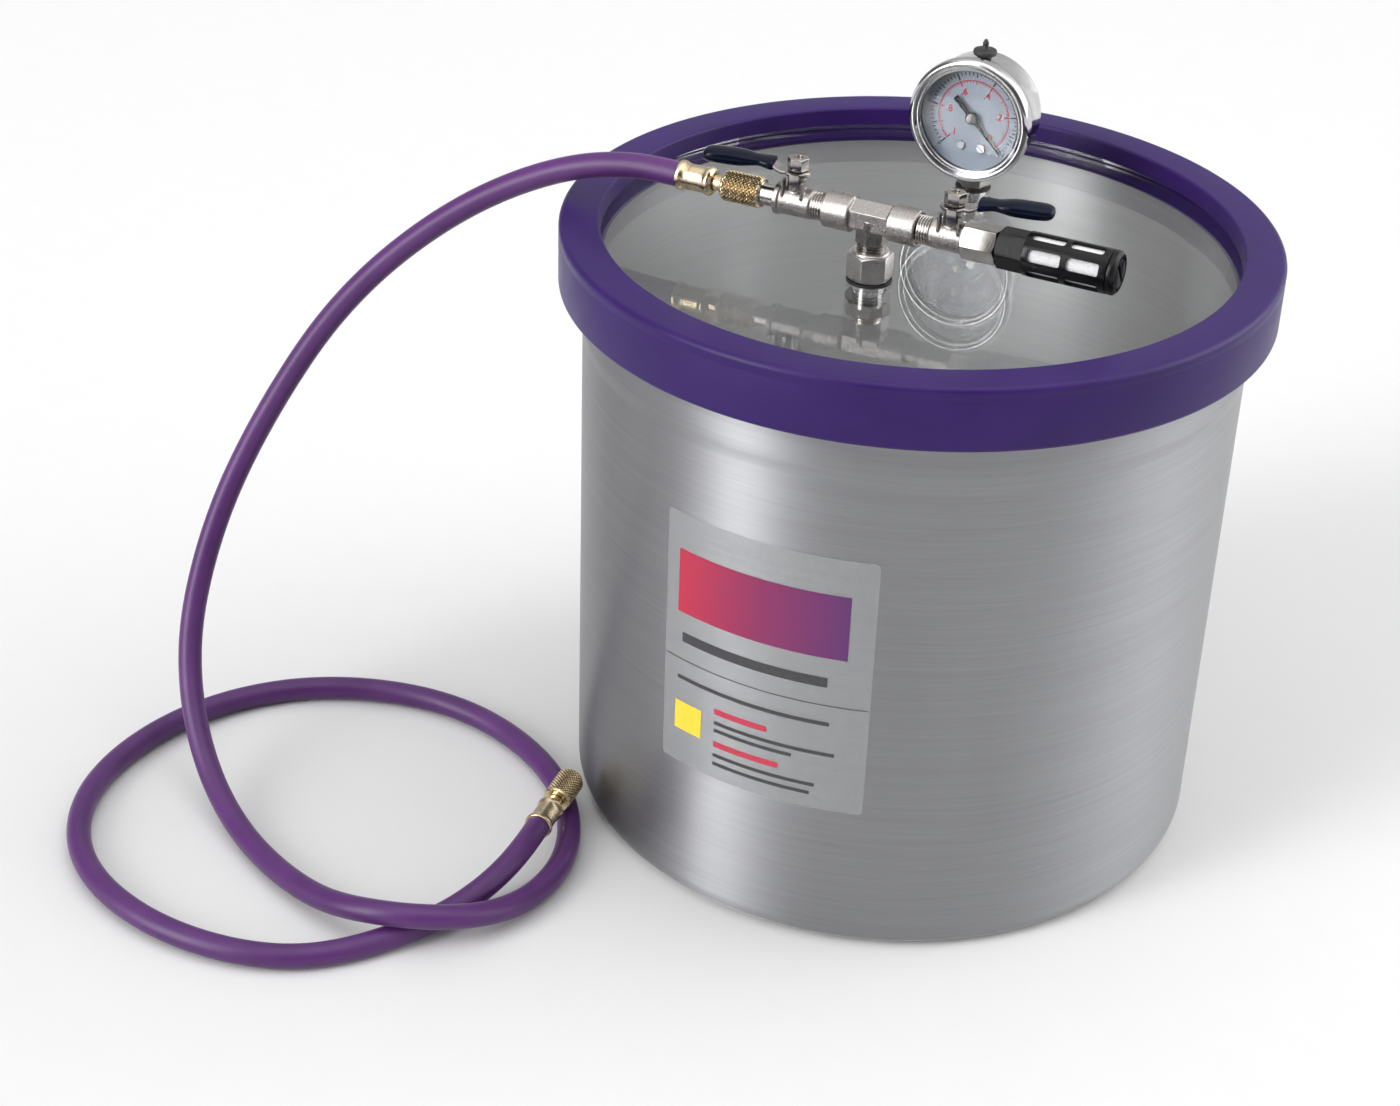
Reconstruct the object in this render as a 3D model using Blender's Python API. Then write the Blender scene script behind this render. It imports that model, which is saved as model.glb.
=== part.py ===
"""A vacuum chamber for resin: aluminium pot, glass lid in a rubber gasket, valve manifold, gauge and hose.

Frame: metres, +Z up. The origin is the centre of the pot's underside, +X runs along the manifold from the
hose to the air filter, and the gauge and the label face -Y.
"""
import math

import bmesh
import bpy
import numpy as np
from mathutils import Matrix, Vector

MM = 0.001
GAP = 0.3 * MM  # between pieces that touch

# Pot
POT_RADIUS = 152.4 * MM
POT_HEIGHT = 265.0 * MM
POT_WALL = 3.6 * MM
POT_FLOOR = 4.0 * MM
POT_CORNER = 10.0 * MM
RIM_BAND_HEIGHT = 18.0 * MM
RIM_BAND_PROUD = 0.8 * MM

# Lid: a glass disc that sits in a channel section gasket
GASKET_OVERHANG = 11.2 * MM  # past the pot's wall
GASKET_LIP = 2.2 * MM  # under the glass
GASKET_TOP_LIP = 8.6 * MM  # over the glass
GASKET_EDGE = 3.0 * MM
GASKET_COVER = 8.6 * MM  # width of the lip over the glass
GASKET_SEAT = 10.1 * MM  # width of the lip under the glass
GLASS_OVERHANG = 1.2 * MM  # past the pot's wall
GLASS_THICKNESS = 18.0 * MM
GLASS_EDGE = 1.0 * MM
GLASS_HOLE_CLEARANCE = 0.4 * MM

# Label on the pot's wall
LABEL_WIDTH = 102.0 * MM
LABEL_HEIGHT = 130.0 * MM
LABEL_DROP = 60.0 * MM  # its top edge below the pot's rim
LABEL_THICKNESS = 0.4 * MM

# Manifold
TEE_X = -3.0 * MM
RUN_Y = -50.0 * MM
RUN_ABOVE_GLASS = 29.6 * MM
TEE_HALF = 22.0 * MM
TEE_BLOCK_HALF = 10.0 * MM
TEE_FLATS = 13.0 * MM
TEE_SOCKET_RADIUS = 8.3 * MM
THREAD_RADIUS = 6.0 * MM
THREAD_LENGTH = 8.0 * MM
BORE_RADIUS = 3.0 * MM

# Bulkhead fitting through the glass, and the same washers and nut under the gauge
BULKHEAD_FLATS = 18.2 * MM
BULKHEAD_HEIGHT = 12.0 * MM
SHANK_RADIUS = 6.6 * MM
SHANK_BELOW = 13.0 * MM
WASHER_THICKNESS = 1.3 * MM
WASHER_RADIUS = 10.2 * MM
NUT_FLATS = 19.0 * MM
NUT_HEIGHT = 6.0 * MM

# Valves
STEM_FROM_TEE = 36.8 * MM
VALVE_BODY_RADIUS = 6.8 * MM
VALVE_INNER_REACH = 9.2 * MM  # stem to the start of the thread at the tee
VALVE_OUTER_REACH = 9.0 * MM  # stem to the end of the round body
VALVE_FLANGE_RADIUS = 7.5 * MM
VALVE_FLANGE_WIDTH = 2.6 * MM
VENT_HEX_LENGTH = 15.4 * MM
VENT_HEX_FLATS = 15.0 * MM
BALL_RADIUS = 4.7 * MM
BALL_BORE = 2.5 * MM
CAVITY_CLEARANCE = 0.5 * MM
SEAT_LENGTH = 1.9 * MM
STEM_RADIUS = 2.2 * MM
BOSS_RADIUS = 4.4 * MM
BOSS_HEIGHT = 12.6 * MM
TANG_WIDTH = 1.7 * MM
TANG_DEPTH = 1.3 * MM
PACKING_HEIGHT = 1.6 * MM
LEVER_ANGLE = math.radians(10.7)  # at rest, turned from the run
LEVER_THICKNESS = 1.6 * MM
LEVER_WIDTH = 7.0 * MM
LEVER_PLATE = 12.0 * MM
LEVER_LENGTH = 36.0 * MM
LEVER_RISE = 3.0 * MM
EAR_WIDTH = 4.0 * MM
EAR_THICKNESS = 1.6 * MM
LEVER_NUT_FLATS = 8.4 * MM
LEVER_NUT_HEIGHT = 5.6 * MM
SLEEVE_START = 11.5 * MM
SLEEVE_END = 42.5 * MM
SLEEVE_WALL = 1.3 * MM

# Hose and its two screwed ends
HOSE_RADIUS = 5.75 * MM
COUPLING_LENGTH = 48.2 * MM  # from the hose's end face to the adapter's shoulder
FERRULE_LENGTH = 17.2 * MM
FERRULE_RADIUS = 6.7 * MM
FERRULE_WAIST = 5.9 * MM
BARB_RADIUS = 3.5 * MM
BARB_BORE = 1.8 * MM
BARB_NECK = 5.0 * MM
FLANGE_THICKNESS = 2.0 * MM
SWIVEL_RADIUS = 7.1 * MM
SWIVEL_LENGTH = 19.0 * MM
SWIVEL_EDGE = 1.2 * MM
SWIVEL_WALL = 2.6 * MM
ADAPTER_RADIUS = 5.5 * MM
SEAL_THICKNESS = 2.0 * MM
FREE_AIM = math.radians(97.0)  # the free coupling's direction on the floor
FREE_START = (-108.6 * MM, -158.0 * MM, 19.3 * MM)

# Filter on the vent valve
FILTER_RADIUS = 9.7 * MM
FILTER_WALL = 1.6 * MM
FILTER_COLLAR_LENGTH = 13.6 * MM
FILTER_COLLAR_FLATS = 16.0 * MM
FILTER_NIPPLE = 10.4 * MM  # inside the vent valve
FILTER_CAGE_LENGTH = 36.0 * MM
FILTER_WINDOW_LENGTH = 14.6 * MM
FILTER_WINDOW_WIDTH = 5.4 * MM
FILTER_RIB = 2.4 * MM
FILTER_WINDOWS = 6
FILTER_WINDOW_START = 1.4 * MM  # from the collar
FILTER_WINDOW_TURN = math.radians(11.0)
FILTER_CAP_LENGTH = 3.6 * MM
FILTER_SLOT_WIDTH = 1.8 * MM
FILTER_SLOT_HALF = 6.2 * MM
FILTER_SLOT_DEPTH = 1.8 * MM
FILTER_SLOT_TURN = math.radians(35.0)
ELEMENT_BORE = 3.5 * MM

# Gauge
GAUGE_X = -3.1 * MM
GAUGE_FRONT_Y = 56.9 * MM
GAUGE_STEM_BACK = 16.0 * MM
BEZEL_RADIUS = 29.75 * MM
BEZEL_OPENING = 23.9 * MM
BEZEL_DEPTH = 7.0 * MM
BEZEL_WALL = 1.5 * MM
BEZEL_FACE = 2.2 * MM
BEZEL_OVERHANG = 2.55 * MM  # past the case
CASE_DEPTH = 26.5 * MM
CASE_WALL = 1.2 * MM
LENS_THICKNESS = 1.8 * MM
DIAL_DEPTH = 9.0 * MM
DIAL_THICKNESS = 0.8 * MM
POINTER_LIFT = 2.6 * MM  # off the dial
POINTER_HUB = 3.0 * MM
POINTER_REACH = 21.5 * MM
POINTER_TAIL = 12.5 * MM
POINTER_ANGLE = math.radians(-45.0)  # at zero, from +X, seen from the front
ARBOR_RADIUS = 0.9 * MM
PINION_RADIUS = 1.8 * MM
SECTOR_RADIUS = 14.4 * MM
PLATE_DEPTH = 12.0 * MM
PLATE_THICKNESS = 1.2 * MM
PLATE_SPACE = 5.2 * MM
PLATE_HALF = 9.0 * MM
PLATE_DROP = 17.5 * MM  # below the arbor
PLATE_RISE = 5.0 * MM
PILLAR_WIDTH = 2.2 * MM
PILLAR_HEIGHT = 4.5 * MM
SECTOR_THICKNESS = 1.4 * MM
SECTOR_HUB = 2.6 * MM
SECTOR_HEEL = 3.0 * MM  # the plate's edge behind the hub
SECTOR_START = math.radians(-8.0)
SECTOR_SWEEP = math.radians(50.0)
DIAL_SCREW_SPREAD = 5.0 * MM
DIAL_SCREW_DROP = 14.2 * MM
DIAL_SCREW_HEAD = 2.2 * MM
DIAL_SCREW_RADIUS = 0.9 * MM
BOURDON_INSET = 8.2 * MM  # from the case's outside to the tube's centreline
BOURDON_TUBE = 1.9 * MM
BOURDON_FLATNESS = 0.55
BOURDON_START = math.radians(-75.0)
BOURDON_SWEEP = math.radians(250.0)
SOCKET_FLATS = 14.2 * MM
SOCKET_HEX_HEIGHT = 7.0 * MM
SOCKET_NECK = 4.8 * MM
SOCKET_NECK_LENGTH = 1.9 * MM
PLUG_RADIUS = 5.6 * MM
PLUG_NECK = 3.4 * MM

# Facets on round pieces
LARGE = 64
MEDIUM = 32
SMALL = 20
FINE = 12

HOSE_POINTS = 76
HOSE_ROUTE = [
    (-114.0, -50.0, 315.2), (-143.0, -51.8, 310.5), (-170.0, -54.5, 300.0), (-196.5, -58.3, 285.0),
    (-225.5, -64.0, 263.0), (-251.0, -71.5, 238.0), (-272.5, -80.7, 210.0), (-289.3, -91.7, 180.0),
    (-302.0, -105.0, 150.0), (-310.0, -121.0, 120.0), (-312.0, -138.5, 91.0), (-307.5, -157.0, 63.5),
    (-295.0, -175.0, 38.5), (-273.0, -194.0, 17.5), (-243.0, -213.5, 7.4), (-210.0, -230.5, 6.6),
    (-174.0, -243.0, 10.0), (-146.0, -247.0, 16.4), (-123.0, -241.0, 17.8), (-104.5, -224.5, 14.0),
    (-94.0, -197.0, 7.7), (-93.0, -165.0, 6.2), (-105.0, -134.0, 6.0), (-128.0, -106.5, 6.0),
    (-163.0, -85.0, 6.0), (-205.0, -75.0, 6.0), (-248.0, -81.0, 6.0), (-288.0, -103.0, 6.0),
    (-316.0, -140.0, 6.0), (-327.0, -186.0, 6.0), (-320.0, -230.0, 6.0), (-293.0, -267.0, 6.0),
    (-250.0, -288.0, 6.0), (-203.0, -291.5, 6.0), (-160.0, -277.0, 6.0), (-133.0, -246.0, 6.2),
    (-116.5, -215.0, 9.2), (-107.5, -186.5, 16.6), (-106.8, -172.0, 19.3),
]  # in millimetres, from the manifold to the free end

# Heights and places that follow from the sizes above
LABEL_BOTTOM = POT_HEIGHT - LABEL_DROP - LABEL_HEIGHT
GASKET_BOTTOM = POT_HEIGHT + GAP
GASKET_RADIUS = POT_RADIUS + GASKET_OVERHANG
GLASS_RADIUS = POT_RADIUS + GLASS_OVERHANG
GASKET_INSIDE = GLASS_RADIUS - GASKET_COVER
GASKET_SEAT_INSIDE = GLASS_RADIUS - GASKET_SEAT
GLASS_BOTTOM = GASKET_BOTTOM + GASKET_LIP + GAP
GLASS_TOP = GLASS_BOTTOM + GLASS_THICKNESS
GASKET_TOP = GLASS_TOP + GAP + GASKET_TOP_LIP
RUN_Z = GLASS_TOP + RUN_ABOVE_GLASS
BULKHEAD_BASE = GLASS_TOP + WASHER_THICKNESS + 2 * GAP
BULKHEAD_TOP = BULKHEAD_BASE + BULKHEAD_HEIGHT
SOCKET_BORE = THREAD_RADIUS + GAP
CAVITY_RADIUS = BALL_RADIUS + CAVITY_CLEARANCE
BOSS_TOP = RUN_Z + BOSS_HEIGHT
LEVER_BASE = BOSS_TOP + GAP
LEVER_TOP = LEVER_BASE + LEVER_THICKNESS
CASE_RADIUS = BEZEL_RADIUS - BEZEL_OVERHANG
BOURDON_RADIUS = CASE_RADIUS - BOURDON_INSET
SOCKET_BASE = GLASS_TOP + WASHER_THICKNESS + 2 * GAP
SOCKET_TOP = SOCKET_BASE + SOCKET_HEX_HEIGHT
GAUGE_Z = SOCKET_TOP + SOCKET_NECK_LENGTH + CASE_RADIUS
GAUGE_STEM_Y = GAUGE_FRONT_Y + GAUGE_STEM_BACK
VACUUM_STEM_X = TEE_X - STEM_FROM_TEE
VENT_STEM_X = TEE_X + STEM_FROM_TEE
ADAPTER_SHOULDER = VACUUM_STEM_X - VALVE_OUTER_REACH - GAP
HOSE_EXIT_X = ADAPTER_SHOULDER - COUPLING_LENGTH
VENT_END_X = VENT_STEM_X + VALVE_OUTER_REACH - VALVE_FLANGE_WIDTH + VENT_HEX_LENGTH

ALONG_X = Matrix.Rotation(math.radians(90), 4, "Y")  # local +Z becomes +X
ALONG_MINUS_X = Matrix.Rotation(math.radians(-90), 4, "Y")
ALONG_Y = Matrix.Rotation(math.radians(-90), 4, "X")  # local +Z becomes +Y
UPRIGHT = Matrix.Identity(4)

MATERIALS = {
    "brushed_aluminium": ((0.62, 0.62, 0.64), 0.35, 1.0),
    "purple_silicone": ((0.085, 0.035, 0.22), 0.45, 0.0),
    "lid_glass": ((0.80, 0.85, 0.86), 0.05, 0.0),
    "nickel": ((0.60, 0.58, 0.55), 0.28, 1.0),
    "brass": ((0.70, 0.52, 0.26), 0.30, 1.0),
    "stainless": ((0.66, 0.66, 0.67), 0.18, 1.0),
    "black_rubber": ((0.02, 0.02, 0.022), 0.6, 0.0),
    "black_vinyl": ((0.012, 0.014, 0.03), 0.25, 0.0),
    "black_plastic": ((0.015, 0.015, 0.017), 0.4, 0.0),
    "white_ptfe": ((0.80, 0.80, 0.80), 0.6, 0.0),
    "dial_white": ((0.62, 0.68, 0.75), 0.5, 0.0),
    "hose_rubber": ((0.10, 0.03, 0.19), 0.42, 0.0),
    "clear_film": ((0.75, 0.75, 0.78), 0.3, 0.0),
}


def clear_scene():
    for old in list(bpy.data.objects):
        bpy.data.objects.remove(old, do_unlink=True)


def material(name):
    found = bpy.data.materials.get(name)
    if found:
        return found
    colour, roughness, metallic = MATERIALS[name]
    new = bpy.data.materials.new(name)
    new.use_nodes = True
    shader = new.node_tree.nodes["Principled BSDF"]
    shader.inputs["Base Color"].default_value = (*colour, 1.0)
    shader.inputs["Roughness"].default_value = roughness
    shader.inputs["Metallic"].default_value = metallic
    return new


def add_object(name, bm, finish, place=UPRIGHT, origin=(0, 0, 0), smooth=True):
    """Turn a bmesh in local coordinates into a named object turned by place and moved to origin."""
    bmesh.ops.recalc_face_normals(bm, faces=bm.faces)
    mesh = bpy.data.meshes.new(name)
    bm.to_mesh(mesh)
    bm.free()
    if smooth:
        mesh.shade_smooth()
        mesh.set_sharp_from_angle(angle=math.radians(35))
    obj = bpy.data.objects.new(name, mesh)
    bpy.context.scene.collection.objects.link(obj)
    obj.matrix_world = Matrix.Translation(Vector(origin)) @ place
    if finish:
        mesh.materials.append(material(finish))
    return obj


def turned_bmesh(outline, steps, closed):
    """Spin an outline of (radius, height) about local Z. A closed outline makes a ring."""
    bm = bmesh.new()
    verts = [bm.verts.new((r, 0.0, h)) for r, h in outline]
    edges = [bm.edges.new(pair) for pair in zip(verts, verts[1:])]
    if closed:
        edges.append(bm.edges.new((verts[-1], verts[0])))
    bmesh.ops.spin(bm, geom=verts + edges, cent=(0, 0, 0), axis=(0, 0, 1), angle=math.tau, steps=steps,
                   use_merge=True)
    bmesh.ops.remove_doubles(bm, verts=bm.verts, dist=0.01 * MM)
    return bm


def turned(name, outline, steps, finish, place=UPRIGHT, origin=(0, 0, 0)):
    """A turned piece. The outline is solid if it starts and ends on the axis, otherwise a ring."""
    solid = outline[0][0] == 0.0
    return add_object(name, turned_bmesh(outline, steps, not solid), finish, place, origin)


def tube_outline(inner, outer, low, high, edge=0.0):
    """A plain ring section with chamfered outer corners."""
    outside = [(outer - edge, low), (outer, low + edge), (outer, high - edge), (outer - edge, high)]
    return [(inner, low), *outside, (inner, high)]


def rod_outline(radius, low, high, edge=0.0):
    return tube_outline(0.0, radius, low, high, edge)


def round_corner(centre, radius, start, end, steps=3):
    """Points on an arc, in degrees, in the outline's plane."""
    angles = [math.radians(start + (end - start) * i / steps) for i in range(steps + 1)]
    return [(centre[0] + radius * math.cos(a), centre[1] + radius * math.sin(a)) for a in angles]


def prism_bmesh(points, low, high):
    """Extrude a closed outline of (x, y) along local Z."""
    bm = bmesh.new()
    bottom = bm.faces.new([bm.verts.new((x, y, low)) for x, y in points])
    moved = bmesh.ops.extrude_face_region(bm, geom=[bottom])["geom"]
    top = [v for v in moved if isinstance(v, bmesh.types.BMVert)]
    bmesh.ops.translate(bm, verts=top, vec=(0, 0, high - low))
    return bm


def hexagon(flats, turn=0.0):
    """Corners of a hexagon. Turn 0 puts a corner on local X."""
    radius = flats / math.sqrt(3)
    angles = [turn + math.radians(60 * i) for i in range(6)]
    return [(radius * math.cos(a), radius * math.sin(a)) for a in angles]


def rectangle(x0, x1, y0, y1):
    return [(x0, y0), (x1, y0), (x1, y1), (x0, y1)]


def loft_bmesh(rings):
    """Join closed rings of equal length, each a list of 3-D points, and cap both ends."""
    bm = bmesh.new()
    loops = [[bm.verts.new(p) for p in ring] for ring in rings]
    count = len(rings[0])
    for a, b in zip(loops, loops[1:]):
        for i in range(count):
            j = (i + 1) % count
            bm.faces.new((a[i], a[j], b[j], b[i]))
    bm.faces.new(loops[0])
    bm.faces.new(loops[-1])
    return bm


def helper(obj):
    """Hide a tool body, which is not a part."""
    obj.hide_render = True
    obj.display_type = "WIRE"
    return obj


def tool(bm, place=UPRIGHT, origin=(0, 0, 0)):
    return helper(add_object("tool", bm, None, place, origin, smooth=False))


def boolean(obj, other, operation):
    step = obj.modifiers.new(operation.lower(), "BOOLEAN")
    step.operation = operation
    step.solver = "EXACT"
    step.object = other
    return obj


def cut(obj, bm, place=UPRIGHT, origin=(0, 0, 0)):
    return boolean(obj, tool(bm, place, origin), "DIFFERENCE")


def join(obj, bm, place=UPRIGHT, origin=(0, 0, 0)):
    return boolean(obj, tool(bm, place, origin), "UNION")


def rod_bmesh(radius, low, high, steps=SMALL):
    return turned_bmesh(rod_outline(radius, low, high), steps, closed=False)


def hex_bmesh(flats, low, high, turn=0.0, chamfer=0.0):
    """A hexagonal prism, its end corners trimmed where chamfer is given."""
    bm = prism_bmesh(hexagon(flats, turn), low, high)
    if chamfer:
        ends = [e for e in bm.edges if abs(e.verts[0].co.z - e.verts[1].co.z) < 1e-9]
        bmesh.ops.bevel(bm, geom=ends, offset=chamfer, segments=1, affect="EDGES", profile=0.5)
    return bm


# ---------------------------------------------------------------- pot


def make_pot():
    inner = POT_RADIUS - POT_WALL
    band = POT_RADIUS + RIM_BAND_PROUD
    outline = [(0.0, 0.0)]
    outline += round_corner((POT_RADIUS - POT_CORNER, POT_CORNER), POT_CORNER, -90, 0)
    outline += [
        (POT_RADIUS, POT_HEIGHT - RIM_BAND_HEIGHT - 4 * MM),
        (band, POT_HEIGHT - RIM_BAND_HEIGHT),
        (band, POT_HEIGHT - 0.6 * MM),
        (band - 0.6 * MM, POT_HEIGHT),
        (inner, POT_HEIGHT),
    ]
    inside = POT_CORNER - POT_WALL
    outline += round_corner((inner - inside, POT_FLOOR + inside), inside, 0, -90)
    outline.append((0.0, POT_FLOOR))
    turned("pot_shell", outline, LARGE, "brushed_aluminium")


def make_label():
    """A film that follows the wall, facing -Y."""
    inner = POT_RADIUS + GAP
    outer = inner + LABEL_THICKNESS
    half = LABEL_WIDTH / 2 / POT_RADIUS
    columns = 12
    rings = []
    for i in range(columns + 1):
        a = math.radians(-90) - half + 2 * half * i / columns
        low, high = LABEL_BOTTOM, LABEL_BOTTOM + LABEL_HEIGHT
        corners = [(inner, low), (outer, low), (outer, high), (inner, high)]
        rings.append([(r * math.cos(a), r * math.sin(a), z) for r, z in corners])
    add_object("pot_label", loft_bmesh(rings), "clear_film")


# ---------------------------------------------------------------- lid


def make_gasket():
    """Channel section: a lip under the glass, a wall round it and a thick lip on top."""
    groove = GLASS_RADIUS + GAP
    low_edge = (GASKET_RADIUS - GASKET_EDGE, GASKET_BOTTOM + GASKET_EDGE)
    high_edge = (GASKET_RADIUS - GASKET_EDGE, GASKET_TOP - GASKET_EDGE)
    inner_edge = (GASKET_INSIDE + GASKET_EDGE, GASKET_TOP - GASKET_EDGE)
    outline = [(GASKET_SEAT_INSIDE, GLASS_BOTTOM - GAP), (GASKET_SEAT_INSIDE, GASKET_BOTTOM)]
    outline += round_corner(low_edge, GASKET_EDGE, -90, 0)
    outline += round_corner(high_edge, GASKET_EDGE, 0, 90)
    outline += round_corner(inner_edge, GASKET_EDGE, 90, 180)
    outline += [(GASKET_INSIDE, GLASS_TOP + GAP), (groove, GLASS_TOP + GAP), (groove, GLASS_BOTTOM - GAP)]
    turned("gasket", outline, LARGE, "purple_silicone")


def make_glass():
    glass = turned("lid_glass", rod_outline(GLASS_RADIUS, GLASS_BOTTOM, GLASS_TOP, GLASS_EDGE), LARGE,
                   "lid_glass")
    hole = SHANK_RADIUS + GLASS_HOLE_CLEARANCE
    for x, y in ((TEE_X, RUN_Y), (GAUGE_X, GAUGE_STEM_Y)):
        cut(glass, rod_bmesh(hole, GLASS_BOTTOM - 2 * MM, GLASS_TOP + 2 * MM), origin=(x, y, 0))


def make_clamp_set(prefix, x, y, hole_radius, upper_radius):
    """A washer on the glass, and a washer and a nut under it, round a shank."""
    inner = hole_radius + GAP
    top = GLASS_TOP + GAP
    turned(f"{prefix}_upper_washer", tube_outline(inner, upper_radius, top, top + WASHER_THICKNESS), SMALL,
           "black_rubber", origin=(x, y, 0))
    low = GLASS_BOTTOM - GAP
    turned(f"{prefix}_lower_washer", tube_outline(inner, WASHER_RADIUS, low - WASHER_THICKNESS, low), SMALL,
           "black_rubber", origin=(x, y, 0))
    nut_top = low - WASHER_THICKNESS - GAP
    nut = hex_bmesh(NUT_FLATS, nut_top - NUT_HEIGHT, nut_top)
    nut = add_object(f"{prefix}_nut", nut, "nickel", origin=(x, y, 0))
    cut(nut, rod_bmesh(inner, nut_top - 2 * NUT_HEIGHT, nut_top + NUT_HEIGHT), origin=(x, y, 0))


def make_bulkhead():
    """A hexagonal body with a socket for the tee, and a hollow shank down through the glass."""
    place = (TEE_X, RUN_Y, 0)
    turn = math.radians(32)
    body = add_object("bulkhead_fitting", hex_bmesh(BULKHEAD_FLATS, BULKHEAD_BASE, BULKHEAD_TOP, turn,
                                                    0.6 * MM),
                      "nickel", origin=place)
    join(body, rod_bmesh(SHANK_RADIUS, GLASS_BOTTOM - SHANK_BELOW, BULKHEAD_BASE + 3 * MM), origin=place)
    cut(body, rod_bmesh(SOCKET_BORE, BULKHEAD_TOP - THREAD_LENGTH, BULKHEAD_TOP + 5 * MM), origin=place)
    cut(body, rod_bmesh(BORE_RADIUS, GLASS_BOTTOM - 2 * SHANK_BELOW, BULKHEAD_TOP), origin=place)
    make_clamp_set("bulkhead", TEE_X, RUN_Y, SHANK_RADIUS, WASHER_RADIUS)


def make_tee():
    centre = (TEE_X, RUN_Y, RUN_Z)
    block = hex_bmesh(TEE_FLATS, -TEE_BLOCK_HALF, TEE_BLOCK_HALF)
    tee = add_object("manifold_tee", block, "nickel", ALONG_X, centre)
    for side in (ALONG_X, ALONG_MINUS_X):
        socket = rod_outline(TEE_SOCKET_RADIUS, TEE_BLOCK_HALF - 1 * MM, TEE_HALF, 0.5 * MM)
        join(tee, turned_bmesh(socket, SMALL, closed=False), side, centre)
    stub_low = BULKHEAD_TOP + 4.6 * MM - RUN_Z
    join(tee, hex_bmesh(TEE_FLATS - 0.4 * MM, stub_low, 0.0, math.radians(30)), origin=centre)
    thread_low = BULKHEAD_TOP - THREAD_LENGTH + 2 * GAP - RUN_Z
    join(tee, rod_bmesh(THREAD_RADIUS, thread_low, stub_low + 1 * MM), origin=centre)
    cut(tee, rod_bmesh(BORE_RADIUS, thread_low - 5 * MM, 0.0), origin=centre)
    cut(tee, rod_bmesh(BORE_RADIUS, -TEE_HALF - 5 * MM, TEE_HALF + 5 * MM), ALONG_X, centre)
    for side in (ALONG_X, ALONG_MINUS_X):
        cut(tee, rod_bmesh(SOCKET_BORE, TEE_HALF - THREAD_LENGTH, TEE_HALF + 5 * MM), side, centre)


# ---------------------------------------------------------------- valves


def ring_rectangle(x, width, height, z):
    """A rectangular section across local X."""
    return [(x, -width / 2, z), (x, width / 2, z), (x, width / 2, z + height), (x, -width / 2, z + height)]


def rounded_ring(x, width, height, z, count=FINE):
    """A superellipse section across local X, centred at height z."""
    ring = []
    for i in range(count):
        a = math.tau * i / count
        c, s = math.cos(a), math.sin(a)
        across = width / 2 * math.copysign(abs(c) ** 0.8, c)
        ring.append((x, across, z + height / 2 * math.copysign(abs(s) ** 0.8, s)))
    return ring


def lever_place(stem_x, outward):
    """The lever's local X points away from the tee, turned by its rest angle."""
    turn = LEVER_ANGLE if outward > 0 else LEVER_ANGLE + math.pi
    return Matrix.Rotation(turn, 4, "Z"), (stem_x, RUN_Y, 0.0)


def arm_rings(width, height, start, end):
    """The arm rises over its first third and then runs level."""
    low = LEVER_BASE - (height - LEVER_THICKNESS) / 2
    bend = LEVER_PLATE / 2 + 1.0 * MM
    level = bend + 4.0 * MM
    return [
        ring_rectangle(start, width, height, low),
        ring_rectangle(bend, width, height, low),
        ring_rectangle(level, width, height, low + LEVER_RISE),
        ring_rectangle(end, width, height, low + LEVER_RISE),
    ]


def make_lever(prefix, stem_x, outward):
    turn, origin = lever_place(stem_x, outward)
    half = LEVER_PLATE / 2
    plate = prism_bmesh(rectangle(-half, half, -half, half), LEVER_BASE, LEVER_TOP)
    lever = add_object(f"{prefix}_lever", plate, "nickel", turn, origin, smooth=False)
    join(lever, loft_bmesh(arm_rings(LEVER_WIDTH, LEVER_THICKNESS, 0.0, LEVER_LENGTH)), turn, origin)
    ear_low = RUN_Z + max(VALVE_BODY_RADIUS, VALVE_FLANGE_RADIUS, VENT_HEX_FLATS / 2) + 2 * GAP
    ear_out = -half - EAR_THICKNESS + 0.2 * MM
    ear = prism_bmesh(rectangle(-EAR_WIDTH / 2, EAR_WIDTH / 2, ear_out, ear_out + EAR_THICKNESS), ear_low,
                      LEVER_TOP)
    ear_turn = turn if outward > 0 else Matrix.Rotation(LEVER_ANGLE, 4, "Z")
    join(lever, ear, ear_turn, origin)
    hole = stem_square() + GAP
    cut(lever, prism_bmesh(rectangle(-hole, hole, -hole, hole), LEVER_BASE - 2 * MM, LEVER_TOP + 2 * MM),
        turn, origin)
    make_sleeve(prefix, turn, origin)


def make_sleeve(prefix, turn, origin):
    """A dipped vinyl sleeve over the arm: flared at its mouth, pinched, then a rounded paddle."""
    middle = LEVER_BASE + LEVER_RISE + LEVER_THICKNESS / 2
    width = LEVER_WIDTH + 2 * GAP + 2 * SLEEVE_WALL
    length = SLEEVE_END - SLEEVE_START
    stations = [  # share of the length, width, height
        (0.0, width + 0.8 * MM, 5.2 * MM), (0.18, width - 0.2 * MM, 4.8 * MM),
        (0.3, width - 0.2 * MM, 5.0 * MM),
        (0.5, width + 0.6 * MM, 7.4 * MM), (0.72, width + 0.8 * MM, 8.2 * MM), (0.88, width, 7.8 * MM),
        (0.96, width - 3.0 * MM, 6.0 * MM), (1.0, width - 7.0 * MM, 3.0 * MM),
    ]
    rings = [rounded_ring(SLEEVE_START + share * length, w, h, middle) for share, w, h in stations]
    sleeve = add_object(f"{prefix}_lever_sleeve", loft_bmesh(rings), "black_vinyl", turn, origin)
    pocket = arm_rings(LEVER_WIDTH + 2 * GAP, LEVER_THICKNESS + 2 * GAP, 5.0 * MM, LEVER_LENGTH + GAP)
    cut(sleeve, loft_bmesh(pocket), turn, origin)


def stem_square():
    """Half the width of the square that fits inside the round stem."""
    return STEM_RADIUS / math.sqrt(2) - 0.05 * MM


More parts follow.
